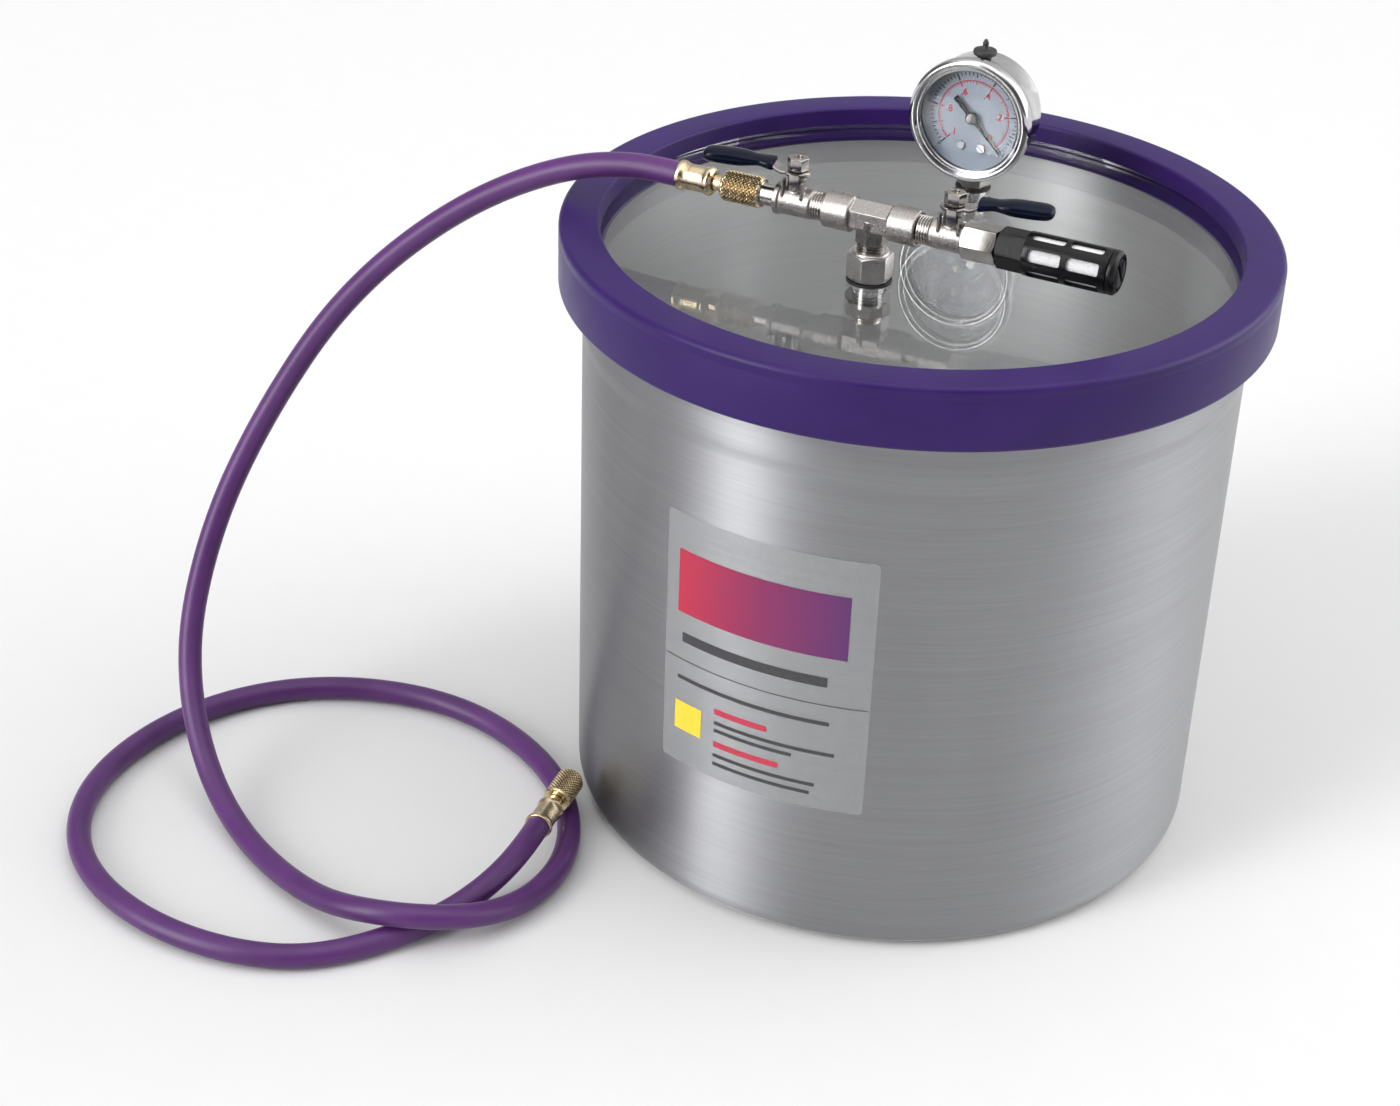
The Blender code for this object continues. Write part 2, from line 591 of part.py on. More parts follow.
def make_stem(prefix, stem_x, outward):
    """Tang in the ball's slot, round in the boss, squared in the lever, and a nut on top."""
    turn, origin = lever_place(stem_x, outward)
    ball_top = RUN_Z + BALL_RADIUS
    slot_floor = ball_top - TANG_DEPTH
    outline = rod_outline(STEM_RADIUS, ball_top + GAP, LEVER_BASE - GAP)
    stem = turned(f"{prefix}_valve_stem", outline, FINE, "brass", turn, origin)
    flat = stem_square()
    join(stem, prism_bmesh(rectangle(-flat, flat, -flat, flat), LEVER_BASE - 1 * MM, LEVER_TOP + GAP),
         turn, origin)
    thread_top = LEVER_TOP + LEVER_NUT_HEIGHT - 0.6 * MM
    join(stem, rod_bmesh(stem_square(), LEVER_TOP, thread_top, FINE), turn, origin)
    tang = rectangle(-STEM_RADIUS * 0.8, STEM_RADIUS * 0.8, -TANG_WIDTH / 2, TANG_WIDTH / 2)
    join(stem, prism_bmesh(tang, slot_floor + GAP, ball_top + 1 * MM), turn, origin)
    nut_low = LEVER_TOP + GAP
    nut = hex_bmesh(LEVER_NUT_FLATS, nut_low, nut_low + LEVER_NUT_HEIGHT, 0.0, 0.4 * MM)
    nut = add_object(f"{prefix}_lever_nut", nut, "nickel", turn, origin)
    cut(nut, rod_bmesh(stem_square() + GAP, nut_low - 2 * MM, nut_low + 2 * LEVER_NUT_HEIGHT, FINE), turn,
        origin)


def make_ball(prefix, stem_x, outward):
    turn, _ = lever_place(stem_x, outward)
    centre = (stem_x, RUN_Y, RUN_Z)
    outline = round_corner((0.0, 0.0), BALL_RADIUS, -90, 90, steps=8)
    outline[0] = (0.0, -BALL_RADIUS)
    outline[-1] = (0.0, BALL_RADIUS)
    ball = turned(f"{prefix}_valve_ball", outline, FINE, "stainless", turn, centre)
    cut(ball, rod_bmesh(BALL_BORE, -2 * BALL_RADIUS, 2 * BALL_RADIUS, FINE), turn @ ALONG_X, centre)
    slot = rectangle(-2 * BALL_RADIUS, 2 * BALL_RADIUS, -TANG_WIDTH / 2 - GAP, TANG_WIDTH / 2 + GAP)
    cut(ball, prism_bmesh(slot, BALL_RADIUS - TANG_DEPTH, 2 * BALL_RADIUS), turn, centre)


def make_valve_internals(prefix, stem_x, outward):
    """Two seats that cup the ball, the stem's packing, the stem and the lever."""
    centre = (stem_x, RUN_Y, RUN_Z)
    seat_start = math.sqrt(BALL_RADIUS**2 - BORE_RADIUS**2) + GAP
    seat = tube_outline(BORE_RADIUS, CAVITY_RADIUS - GAP, seat_start, seat_start + SEAT_LENGTH)
    for which, side in (("inner", -outward), ("outer", outward)):
        place = ALONG_X if side > 0 else ALONG_MINUS_X
        turned(f"{prefix}_valve_{which}_seat", seat, FINE, "white_ptfe", place, centre)
    low = BOSS_TOP - GAP - PACKING_HEIGHT
    ring = tube_outline(STEM_RADIUS + GAP, BOSS_RADIUS - 1.0 * MM - GAP, low, low + PACKING_HEIGHT)
    turned(f"{prefix}_valve_packing", ring, FINE, "black_rubber", origin=(stem_x, RUN_Y, 0.0))
    make_ball(prefix, stem_x, outward)
    make_stem(prefix, stem_x, outward)
    make_lever(prefix, stem_x, outward)


def make_valve_body(prefix, stem_x, outward):
    """Male thread to the tee, round body with a stem boss, open at its outer end."""
    centre = (stem_x, RUN_Y, RUN_Z)
    out = ALONG_X if outward > 0 else ALONG_MINUS_X
    thread_end = -STEM_FROM_TEE + TEE_HALF - THREAD_LENGTH + GAP
    body_end = VALVE_OUTER_REACH - VALVE_FLANGE_WIDTH
    outline = [
        (0.0, thread_end), (THREAD_RADIUS, thread_end), (THREAD_RADIUS, -VALVE_INNER_REACH),
        (VALVE_BODY_RADIUS - 0.8 * MM, -VALVE_INNER_REACH),
        (VALVE_BODY_RADIUS, -VALVE_INNER_REACH + 0.8 * MM),
        (VALVE_BODY_RADIUS, body_end),
    ]
    if outward < 0:
        outline += [(VALVE_FLANGE_RADIUS, body_end), (VALVE_FLANGE_RADIUS, VALVE_OUTER_REACH),
                    (0.0, VALVE_OUTER_REACH)]
    else:
        outline += [(0.0, body_end)]
    body = turned(f"{prefix}_valve_body", outline, SMALL, "nickel", out, centre)
    outer_end = VALVE_OUTER_REACH
    if outward > 0:
        outer_end = body_end + VENT_HEX_LENGTH
        join(body, hex_bmesh(VENT_HEX_FLATS, body_end - 0.5 * MM, outer_end, math.radians(30), 0.5 * MM),
             out, centre)
    join(body, rod_bmesh(BOSS_RADIUS, 0.0, BOSS_HEIGHT), origin=centre)
    seat_end = math.sqrt(BALL_RADIUS**2 - BORE_RADIUS**2) + GAP + SEAT_LENGTH + GAP
    cut(body, rod_bmesh(CAVITY_RADIUS, -seat_end, outer_end + 5 * MM), out, centre)
    cut(body, rod_bmesh(BORE_RADIUS, thread_end - 5 * MM, 0.0), out, centre)
    cut(body, rod_bmesh(STEM_RADIUS + GAP, 0.0, BOSS_HEIGHT + 5 * MM), origin=centre)
    pocket = BOSS_RADIUS - 1.0 * MM
    pocket_low = BOSS_HEIGHT - PACKING_HEIGHT - 2 * GAP
    cut(body, rod_bmesh(pocket, pocket_low, BOSS_HEIGHT + 5 * MM), origin=centre)


def make_valves():
    make_valve_body("vacuum", VACUUM_STEM_X, -1)
    make_valve_internals("vacuum", VACUUM_STEM_X, -1)
    make_valve_body("vent", VENT_STEM_X, 1)
    make_valve_internals("vent", VENT_STEM_X, 1)


def make_flare_adapter():
    """Shank in the vacuum valve, and the threaded nose that the hose's swivel nut screws onto."""
    start = math.sqrt(BALL_RADIUS**2 - BORE_RADIUS**2) + SEAT_LENGTH + 3 * GAP
    shoulder = VALVE_OUTER_REACH + GAP
    nose = shoulder + COUPLING_LENGTH - nose_depth()
    outline = [
        (BORE_RADIUS, start), (CAVITY_RADIUS - GAP, start), (CAVITY_RADIUS - GAP, shoulder),
        (ADAPTER_RADIUS, shoulder),
        (ADAPTER_RADIUS, nose - 1.6 * MM), (ADAPTER_RADIUS - 1.6 * MM, nose), (BORE_RADIUS, nose),
    ]
    turned("flare_adapter", outline, SMALL, "nickel", ALONG_MINUS_X, (VACUUM_STEM_X, RUN_Y, RUN_Z))


# ---------------------------------------------------------------- hose ends


def nut_start():
    """Distances along a coupling run from the hose's end face."""
    return FERRULE_LENGTH + GAP + BARB_NECK


def flange_start():
    return nut_start() + SWIVEL_WALL + GAP


def nose_depth():
    """Where the adapter's nose, or an empty socket, begins."""
    return flange_start() + FLANGE_THICKNESS + GAP + SEAL_THICKNESS + GAP


def swivel_bore():
    return ADAPTER_RADIUS + GAP


def make_coupling(prefix, place, origin):
    """Crimped ferrule, barb, seal and knurled swivel nut, along local Z from the hose's end face."""
    mouth = GAP
    end = mouth + FERRULE_LENGTH
    bore = BARB_RADIUS + GAP
    ferrule = [
        (bore, mouth), (FERRULE_RADIUS - 0.3 * MM, mouth), (FERRULE_RADIUS, mouth + 1.2 * MM),
        (FERRULE_WAIST, mouth + 3.6 * MM), (FERRULE_WAIST, end - 3.2 * MM),
        (FERRULE_RADIUS - 0.4 * MM, end - 1.4 * MM),
        (FERRULE_RADIUS - 0.4 * MM, end), (bore, end),
    ]
    turned(f"{prefix}_ferrule", ferrule, SMALL, "brass", place, origin)
    inner = BARB_BORE
    flange = flange_start()
    flange_radius = swivel_bore() - GAP
    barb = [
        (inner, mouth), (BARB_RADIUS, mouth), (BARB_RADIUS, flange), (flange_radius, flange),
        (flange_radius, flange + FLANGE_THICKNESS), (inner, flange + FLANGE_THICKNESS),
    ]
    turned(f"{prefix}_barb", barb, SMALL, "brass", place, origin)
    seal_low = flange + FLANGE_THICKNESS + GAP
    seal = tube_outline(inner, flange_radius, seal_low, seal_low + SEAL_THICKNESS)
    turned(f"{prefix}_seal", seal, SMALL, "black_rubber", place, origin)
    low = nut_start()
    high = low + SWIVEL_LENGTH
    edge = SWIVEL_EDGE
    swivel = [
        (BARB_RADIUS + GAP, low), (SWIVEL_RADIUS - edge, low), (SWIVEL_RADIUS, low + edge),
        (SWIVEL_RADIUS, high - edge), (SWIVEL_RADIUS - 0.4 * edge, high), (swivel_bore(), high),
        (swivel_bore(), low + SWIVEL_WALL), (BARB_RADIUS + GAP, low + SWIVEL_WALL),
    ]
    turned(f"{prefix}_swivel_nut", swivel, SMALL, "brass", place, origin)


def smooth_route(points, count):
    """Natural cubic spline through points, read at even steps of chord length."""
    p = np.array(points, dtype=float)
    distance = np.concatenate(([0.0], np.cumsum(np.linalg.norm(np.diff(p, axis=0), axis=1))))
    h = np.diff(distance)
    last = len(p) - 1
    matrix = np.eye(len(p))
    right = np.zeros((len(p), 3))
    for i in range(1, last):
        matrix[i, i - 1 : i + 2] = h[i - 1], 2 * (h[i - 1] + h[i]), h[i]
        right[i] = 6 * ((p[i + 1] - p[i]) / h[i] - (p[i] - p[i - 1]) / h[i - 1])
    bend = np.linalg.solve(matrix, right)
    out = []
    for s in np.linspace(0.0, distance[-1], count):
        i = min(int(np.searchsorted(distance, s, side="right")) - 1, last - 1)
        a = (distance[i + 1] - s) / h[i]
        b = (s - distance[i]) / h[i]
        curve = ((a**3 - a) * bend[i] + (b**3 - b) * bend[i + 1]) * h[i] ** 2 / 6
        out.append(a * p[i] + b * p[i + 1] + curve)
    return out


def free_place():
    aim = Vector((math.cos(FREE_AIM), math.sin(FREE_AIM), 0.0))
    return aim.to_track_quat("Z", "Y").to_matrix().to_4x4()


def make_hose():
    start = (HOSE_EXIT_X, RUN_Y, RUN_Z)
    route = [start] + [tuple(v * MM for v in point) for point in HOSE_ROUTE] + [FREE_START]
    curve = bpy.data.curves.new("hose_tube", "CURVE")
    curve.dimensions = "3D"
    curve.bevel_depth = HOSE_RADIUS
    curve.bevel_resolution = 2
    curve.use_fill_caps = True
    spline = curve.splines.new("POLY")
    points = smooth_route(route, HOSE_POINTS)
    spline.points.add(len(points) - 1)
    for target, point in zip(spline.points, points):
        target.co = (*point, 1.0)
    curve.materials.append(material("hose_rubber"))
    bpy.context.scene.collection.objects.link(bpy.data.objects.new("hose_tube", curve))


def make_hose_ends():
    make_coupling("hose", ALONG_X, (HOSE_EXIT_X, RUN_Y, RUN_Z))
    make_coupling("free_end", free_place(), FREE_START)


# ---------------------------------------------------------------- filter


def make_filter():
    """Hexagonal collar with a nipple in the valve, a cage with two rows of windows, an element and a cap."""
    base = VENT_END_X + GAP
    origin = (base, RUN_Y, RUN_Z)
    cage_start = FILTER_COLLAR_LENGTH
    cage_end = cage_start + FILTER_CAGE_LENGTH
    inside = FILTER_RADIUS - FILTER_WALL
    nipple_radius = CAVITY_RADIUS - GAP
    cage = [
        (0.0, -FILTER_NIPPLE), (nipple_radius, -FILTER_NIPPLE), (nipple_radius, cage_start - 1.0 * MM),
        (FILTER_RADIUS, cage_start - 1.0 * MM), (FILTER_RADIUS, cage_end), (0.0, cage_end),
    ]
    housing = turned("filter_housing", cage, MEDIUM, "black_plastic", ALONG_X, origin)
    join(housing, hex_bmesh(FILTER_COLLAR_FLATS, 0.0, cage_start, math.radians(30), 0.5 * MM), ALONG_X,
         origin)
    cut(housing, rod_bmesh(inside, cage_start, cage_end + 5 * MM, MEDIUM), ALONG_X, origin)
    cut(housing, rod_bmesh(BORE_RADIUS, -2 * FILTER_NIPPLE, cage_start + 1 * MM), ALONG_X, origin)
    for row in range(2):
        low = cage_start + FILTER_WINDOW_START + row * (FILTER_WINDOW_LENGTH + FILTER_RIB)
        for i in range(FILTER_WINDOWS):
            half = FILTER_WINDOW_WIDTH / 2
            window = rectangle(inside - 3 * MM, FILTER_RADIUS + 3 * MM, -half, half)
            around = Matrix.Rotation(FILTER_WINDOW_TURN + math.tau * i / FILTER_WINDOWS, 4, "Z")
            cut(housing, prism_bmesh(window, low, low + FILTER_WINDOW_LENGTH), ALONG_X @ around, origin)
    element = tube_outline(ELEMENT_BORE, inside - GAP, cage_start + GAP, cage_end - FILTER_CAP_LENGTH)
    turned("filter_element", element, SMALL, "white_ptfe", ALONG_X, origin)
    rim = cage_end + GAP
    cap = [
        (0.0, cage_end - FILTER_CAP_LENGTH + GAP), (inside - GAP, cage_end - FILTER_CAP_LENGTH + GAP),
        (inside - GAP, rim),
        (FILTER_RADIUS, rim), (FILTER_RADIUS, rim + FILTER_CAP_LENGTH - 1.2 * MM),
        (FILTER_RADIUS - 1.2 * MM, rim + FILTER_CAP_LENGTH), (0.0, rim + FILTER_CAP_LENGTH),
    ]
    cap = turned("filter_cap", cap, MEDIUM, "black_plastic", ALONG_X, origin)
    slot = rectangle(-FILTER_SLOT_HALF, FILTER_SLOT_HALF, -FILTER_SLOT_WIDTH / 2, FILTER_SLOT_WIDTH / 2)
    slot_floor = rim + FILTER_CAP_LENGTH - FILTER_SLOT_DEPTH
    tilt = Matrix.Rotation(FILTER_SLOT_TURN, 4, "Z")
    cut(cap, prism_bmesh(slot, slot_floor, slot_floor + 10 * MM), ALONG_X @ tilt, origin)


# ---------------------------------------------------------------- gauge


def gauge_centre():
    return (GAUGE_X, GAUGE_FRONT_Y, GAUGE_Z)


def make_gauge_case():
    """All turned pieces of the gauge run back from the bezel's front along +Y."""
    centre = gauge_centre()
    lens_low = BEZEL_FACE + GAP
    lens_high = lens_low + LENS_THICKNESS
    case_front = lens_high + GAP
    skirt = BEZEL_RADIUS - BEZEL_WALL
    bezel = [
        (BEZEL_OPENING, BEZEL_FACE), (BEZEL_OPENING, 1.6 * MM), (BEZEL_OPENING + 1.2 * MM, 0.7 * MM),
        (BEZEL_OPENING + 3.2 * MM, 0.0), (BEZEL_RADIUS - 1.4 * MM, 0.4 * MM), (BEZEL_RADIUS, 2.0 * MM),
        (BEZEL_RADIUS, BEZEL_DEPTH - 0.8 * MM), (BEZEL_RADIUS - 0.8 * MM, BEZEL_DEPTH), (skirt, BEZEL_DEPTH),
        (skirt, BEZEL_FACE),
    ]
    turned("gauge_bezel", bezel, MEDIUM, "stainless", ALONG_Y, centre)
    turned("gauge_lens", rod_outline(skirt - GAP, lens_low, lens_high), MEDIUM, "lid_glass", ALONG_Y, centre)
    inner = CASE_RADIUS - CASE_WALL
    corner = 2.5 * MM
    case = [(0.0, CASE_DEPTH - CASE_WALL), (inner - 1.0 * MM, CASE_DEPTH - CASE_WALL),
            (inner, CASE_DEPTH - 2 * CASE_WALL)]
    case += [(inner, case_front), (skirt - GAP, case_front), (skirt - GAP, BEZEL_DEPTH - 1.2 * MM)]
    case += [(CASE_RADIUS, BEZEL_DEPTH)]
    case += round_corner((CASE_RADIUS - corner, CASE_DEPTH - corner), corner, 0, 90)
    case += [(0.0, CASE_DEPTH)]
    case = turned("gauge_case", case, MEDIUM, "stainless", ALONG_Y, centre)
    stem = (GAUGE_X, GAUGE_STEM_Y, GAUGE_Z)
    cut(case, rod_bmesh(SOCKET_NECK + GAP, -2 * CASE_RADIUS, 0.0), origin=stem)
    cut(case, rod_bmesh(PLUG_NECK + GAP, 0.0, 2 * CASE_RADIUS), origin=stem)


def make_gauge_face():
    """Dial with holes for the arbor and its two screws, and the screws."""
    centre = gauge_centre()
    inner = CASE_RADIUS - CASE_WALL - GAP
    dial = turned("gauge_dial", rod_outline(inner, DIAL_DEPTH, DIAL_DEPTH + DIAL_THICKNESS), MEDIUM,
                  "dial_white",
                  ALONG_Y, centre)
    cut(dial, rod_bmesh(ARBOR_RADIUS + GAP, 0.0, 2 * DIAL_DEPTH, FINE), ALONG_Y, centre)
    for name, side in (("left", -1), ("right", 1)):
        spot = (GAUGE_X + side * DIAL_SCREW_SPREAD, GAUGE_FRONT_Y, GAUGE_Z - DIAL_SCREW_DROP)
        cut(dial, rod_bmesh(DIAL_SCREW_RADIUS + GAP, 0.0, 2 * DIAL_DEPTH, FINE), ALONG_Y, spot)
        head = DIAL_DEPTH - GAP
        screw = [
            (0.0, head - 0.9 * MM), (DIAL_SCREW_HEAD - 0.3 * MM, head - 0.9 * MM),
            (DIAL_SCREW_HEAD, head - 0.5 * MM),
            (DIAL_SCREW_HEAD, head), (DIAL_SCREW_RADIUS, head),
            (DIAL_SCREW_RADIUS, PLATE_DEPTH + PLATE_THICKNESS),
            (0.0, PLATE_DEPTH + PLATE_THICKNESS),
        ]
        screw = turned(f"dial_screw_{name}", screw, FINE, "stainless", ALONG_Y, spot)
        slot = prism_bmesh(rectangle(-5 * MM, 5 * MM, -0.4 * MM, 0.4 * MM), head - 5 * MM, head - 0.5 * MM)
        cut(screw, slot, ALONG_Y @ Matrix.Rotation(math.radians(40 * side), 4, "Z"), spot)


def front_outline(points, turn):
    """Turn (x, z) points seen from the front into the local frame of pieces that run along +Y."""
    c, s = math.cos(turn), math.sin(turn)
    return [(x * c - z * s, -(x * s + z * c)) for x, z in points]


def make_pointer():
    """Pointer, hub, arbor and pinion in one piece, which turns in the movement's plates."""
    centre = gauge_centre()
    low = DIAL_DEPTH - POINTER_LIFT
    shape = [
        (-POINTER_TAIL, -1.3 * MM), (-POINTER_TAIL, 1.3 * MM), (-3.0 * MM, 1.1 * MM), (2.0 * MM, 0.9 * MM),
        (POINTER_REACH, 0.25 * MM), (POINTER_REACH, -0.25 * MM), (2.0 * MM, -0.9 * MM),
        (-3.0 * MM, -1.1 * MM),
    ]
    hub = rod_outline(POINTER_HUB, low - 0.9 * MM, low + 1.0 * MM, 0.3 * MM)
    pointer = turned("gauge_pointer", hub, SMALL, "black_plastic", ALONG_Y, centre)
    join(pointer, prism_bmesh(front_outline(shape, POINTER_ANGLE), low, low + 0.6 * MM), ALONG_Y, centre)
    back = PLATE_DEPTH + 2 * PLATE_THICKNESS + PLATE_SPACE
    join(pointer, rod_bmesh(ARBOR_RADIUS, low, back, FINE), ALONG_Y, centre)
    gear = PLATE_DEPTH + PLATE_THICKNESS + GAP
    join(pointer, rod_bmesh(PINION_RADIUS, gear, gear + PLATE_SPACE - 2 * GAP, FINE), ALONG_Y, centre)


def sector_pivot():
    """The sector's pin stands to the left of the arbor, one centre distance away."""
    return (GAUGE_X - (PINION_RADIUS + GAP + SECTOR_RADIUS), GAUGE_FRONT_Y, GAUGE_Z)


def make_movement():
    """Two plates on two pillars carry the arbor and the sector's pin; the sector's rim runs on the pinion."""
    centre = gauge_centre()
    spread = PINION_RADIUS + GAP + SECTOR_RADIUS
    second = PLATE_DEPTH + PLATE_THICKNESS + PLATE_SPACE
    left = -spread - 4.0 * MM
    outline = [
        (left, -PLATE_RISE), (PLATE_HALF, -PLATE_RISE), (PLATE_HALF, PLATE_DROP), (-PLATE_HALF, PLATE_DROP),
        (left, PLATE_RISE),
    ]
    frame = add_object("movement_frame", prism_bmesh(outline, PLATE_DEPTH, PLATE_DEPTH + PLATE_THICKNESS),
                       "brass",
                       ALONG_Y, centre, smooth=False)
    join(frame, prism_bmesh(outline, second, second + PLATE_THICKNESS), ALONG_Y, centre)
    for x0 in (-PLATE_HALF, PLATE_HALF - PILLAR_WIDTH):
        pillar = rectangle(x0, x0 + PILLAR_WIDTH, PLATE_DROP - PILLAR_HEIGHT, PLATE_DROP)
        join(frame, prism_bmesh(pillar, PLATE_DEPTH, second + PLATE_THICKNESS), ALONG_Y, centre)
    cut(frame, rod_bmesh(ARBOR_RADIUS + GAP, 0.0, 3 * second, FINE), ALONG_Y, centre)
    cut(frame, rod_bmesh(ARBOR_RADIUS + GAP, 0.0, 3 * second, FINE), ALONG_Y, sector_pivot())
    for side in (-1, 1):
        spot = (GAUGE_X + side * DIAL_SCREW_SPREAD, GAUGE_FRONT_Y, GAUGE_Z - DIAL_SCREW_DROP)
        cut(frame, rod_bmesh(DIAL_SCREW_RADIUS + GAP, 0.0, PLATE_DEPTH + 2 * PLATE_THICKNESS, FINE),
            ALONG_Y, spot)
    make_sector(second)


def make_sector(second):
    middle = PLATE_DEPTH + PLATE_THICKNESS + (PLATE_SPACE - SECTOR_THICKNESS) / 2
    sweep = [SECTOR_START + SECTOR_SWEEP * i / 8 for i in range(9)]
    rim = [(SECTOR_RADIUS * math.cos(a), SECTOR_RADIUS * math.sin(a)) for a in sweep]
    heel = round_corner((0.0, 0.0), SECTOR_HEEL, 120, 260, steps=4)
    shape = front_outline(rim + heel, 0.0)
    sector = add_object("sector_gear", prism_bmesh(shape, middle, middle + SECTOR_THICKNESS), "brass",
                        ALONG_Y,
                        sector_pivot(), smooth=False)
    join(sector, rod_bmesh(SECTOR_HUB, middle, middle + SECTOR_THICKNESS, FINE), ALONG_Y, sector_pivot())
    join(sector, rod_bmesh(ARBOR_RADIUS, PLATE_DEPTH, second + PLATE_THICKNESS, FINE), ALONG_Y,
         sector_pivot())


def make_bourdon_tube():
    """A C-shaped tube behind the movement, from the socket block round to its free tip."""
    depth = PLATE_DEPTH + 2 * PLATE_THICKNESS + PLATE_SPACE + BOURDON_TUBE + 0.8 * MM
    rings = []
    for i in range(21):
        a = BOURDON_START + BOURDON_SWEEP * i / 20
        centre = Vector((math.cos(a), 0.0, math.sin(a))) * BOURDON_RADIUS
        ring = []
        for k in range(10):
            b = math.tau * k / 10
            out = 1.0 + BOURDON_FLATNESS * BOURDON_TUBE * math.cos(b) / BOURDON_RADIUS
            ring.append((centre.x * out, depth + BOURDON_TUBE * math.sin(b), centre.z * out))
        rings.append(ring)
    add_object("bourdon_tube", loft_bmesh(rings), "brass", origin=gauge_centre())


def make_gauge_socket():
    """Hexagon under the case, a neck and block inside it, and a shank through the glass."""
    place = (GAUGE_X, GAUGE_STEM_Y, 0)
    hexagonal = hex_bmesh(SOCKET_FLATS, SOCKET_BASE, SOCKET_TOP, math.radians(12), 0.5 * MM)
    socket = add_object("gauge_socket", hexagonal, "nickel", origin=place)
    join(socket, rod_bmesh(SHANK_RADIUS, GLASS_BOTTOM - SHANK_BELOW, SOCKET_BASE + 2 * MM), origin=place)
    block_low = GAUGE_Z - CASE_RADIUS + CASE_WALL + 1.2 * MM
    join(socket, rod_bmesh(SOCKET_NECK, SOCKET_BASE, block_low + 1 * MM), origin=place)
    block_front = PLATE_DEPTH + 2 * PLATE_THICKNESS + PLATE_SPACE + GAP - GAUGE_STEM_BACK
    block = rectangle(-4.0 * MM, 4.0 * MM, block_front - 7.0 * MM, block_front + 1.0 * MM)
    join(socket, prism_bmesh(block, block_low, GAUGE_Z - BOURDON_RADIUS - 2.6 * MM), origin=place)
    cut(socket, rod_bmesh(1.5 * MM, GLASS_BOTTOM - 2 * SHANK_BELOW, block_low + 1 * MM, FINE), origin=place)
    make_clamp_set("gauge", GAUGE_X, GAUGE_STEM_Y, SHANK_RADIUS, 8.4 * MM)


def make_gauge_plug():
    """Rubber plug in the hole on top of the case, with a small nipple."""
    top = GAUGE_Z + CASE_RADIUS
    outline = [
        (0.0, top - 3.0 * MM), (PLUG_NECK, top - 3.0 * MM), (PLUG_NECK, top + GAP),
        (PLUG_RADIUS - 0.4 * MM, top + GAP),
        (PLUG_RADIUS, top + 0.9 * MM), (PLUG_RADIUS - 0.2 * MM, top + 2.4 * MM), (1.6 * MM, top + 2.9 * MM),
        (1.3 * MM, top + 4.6 * MM), (1.5 * MM, top + 5.6 * MM), (0.7 * MM, top + 7.4 * MM),
        (0.0, top + 7.6 * MM),
    ]
    turned("gauge_plug", outline, SMALL, "black_rubber", origin=(GAUGE_X, GAUGE_STEM_Y, 0))


def make_gauge():
    make_gauge_case()
    make_gauge_face()
    make_pointer()
    make_movement()
    make_bourdon_tube()
    make_gauge_socket()
    make_gauge_plug()


def main():
    clear_scene()
    make_pot()
    make_label()
    make_gasket()
    make_glass()
    make_bulkhead()
    make_tee()
    make_valves()
    make_flare_adapter()
    make_hose_ends()
    make_hose()
    make_filter()
    make_gauge()


main()
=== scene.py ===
"""Looks for the resin pot with a glass lid: fine turned shells, cast fittings, a knurled hose end, a printed dial
and procedural materials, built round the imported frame. Metres, +Z up, the frame's own coordinates."""

import math

import bmesh
import bpy
import numpy as np
from mathutils import Matrix, Vector


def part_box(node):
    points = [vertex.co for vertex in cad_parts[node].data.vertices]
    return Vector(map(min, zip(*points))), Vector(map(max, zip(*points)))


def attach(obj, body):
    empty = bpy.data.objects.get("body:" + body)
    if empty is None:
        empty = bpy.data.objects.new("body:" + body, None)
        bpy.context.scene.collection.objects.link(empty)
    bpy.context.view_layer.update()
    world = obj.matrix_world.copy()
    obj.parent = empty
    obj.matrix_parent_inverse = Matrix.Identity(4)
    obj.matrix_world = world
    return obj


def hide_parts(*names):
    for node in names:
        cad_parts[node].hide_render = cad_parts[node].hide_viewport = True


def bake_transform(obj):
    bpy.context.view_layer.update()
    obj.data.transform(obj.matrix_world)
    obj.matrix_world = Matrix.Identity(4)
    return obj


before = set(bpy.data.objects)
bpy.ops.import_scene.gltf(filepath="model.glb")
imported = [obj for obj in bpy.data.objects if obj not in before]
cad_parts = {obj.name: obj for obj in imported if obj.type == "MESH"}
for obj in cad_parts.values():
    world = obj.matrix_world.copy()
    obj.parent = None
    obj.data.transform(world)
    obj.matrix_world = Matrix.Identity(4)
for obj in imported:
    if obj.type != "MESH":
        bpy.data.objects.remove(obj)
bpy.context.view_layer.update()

MM = 0.001
ROUND = 192  # facets on the pot, the gasket and the glass
DETAIL = 72  # facets on the fittings
UPRIGHT = Matrix.Identity(4)
ALONG_X = Matrix.Rotation(math.radians(90), 4, "Y")
ALONG_MINUS_X = Matrix.Rotation(math.radians(-90), 4, "Y")
ALONG_Y = Matrix.Rotation(math.radians(-90), 4, "X")
GAP = 0.3 * MM  # between pieces that touch
RIM_PROUD = 0.8 * MM  # the pot's rim band past its wall


def middle(node):
    """The middle of a node's box."""
    low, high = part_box(node)
    return (low + high) / 2


RUN_Y = middle("flare_adapter").y
RUN_Z = middle("flare_adapter").z
TEE_X = middle("manifold_tee").x
VACUUM_X = middle("vacuum_valve_packing").x
VENT_X = middle("vent_valve_packing").x
GLASS_LOW, GLASS_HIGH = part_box("lid_glass")
POT_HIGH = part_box("pot_shell")[1]
WALL_RADIUS = POT_HIGH.x - RIM_PROUD
GAUGE = Vector((middle("gauge_bezel").x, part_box("gauge_bezel")[0].y, middle("gauge_bezel").z))

# ---------------------------------------------------------------- camera, lights and floor

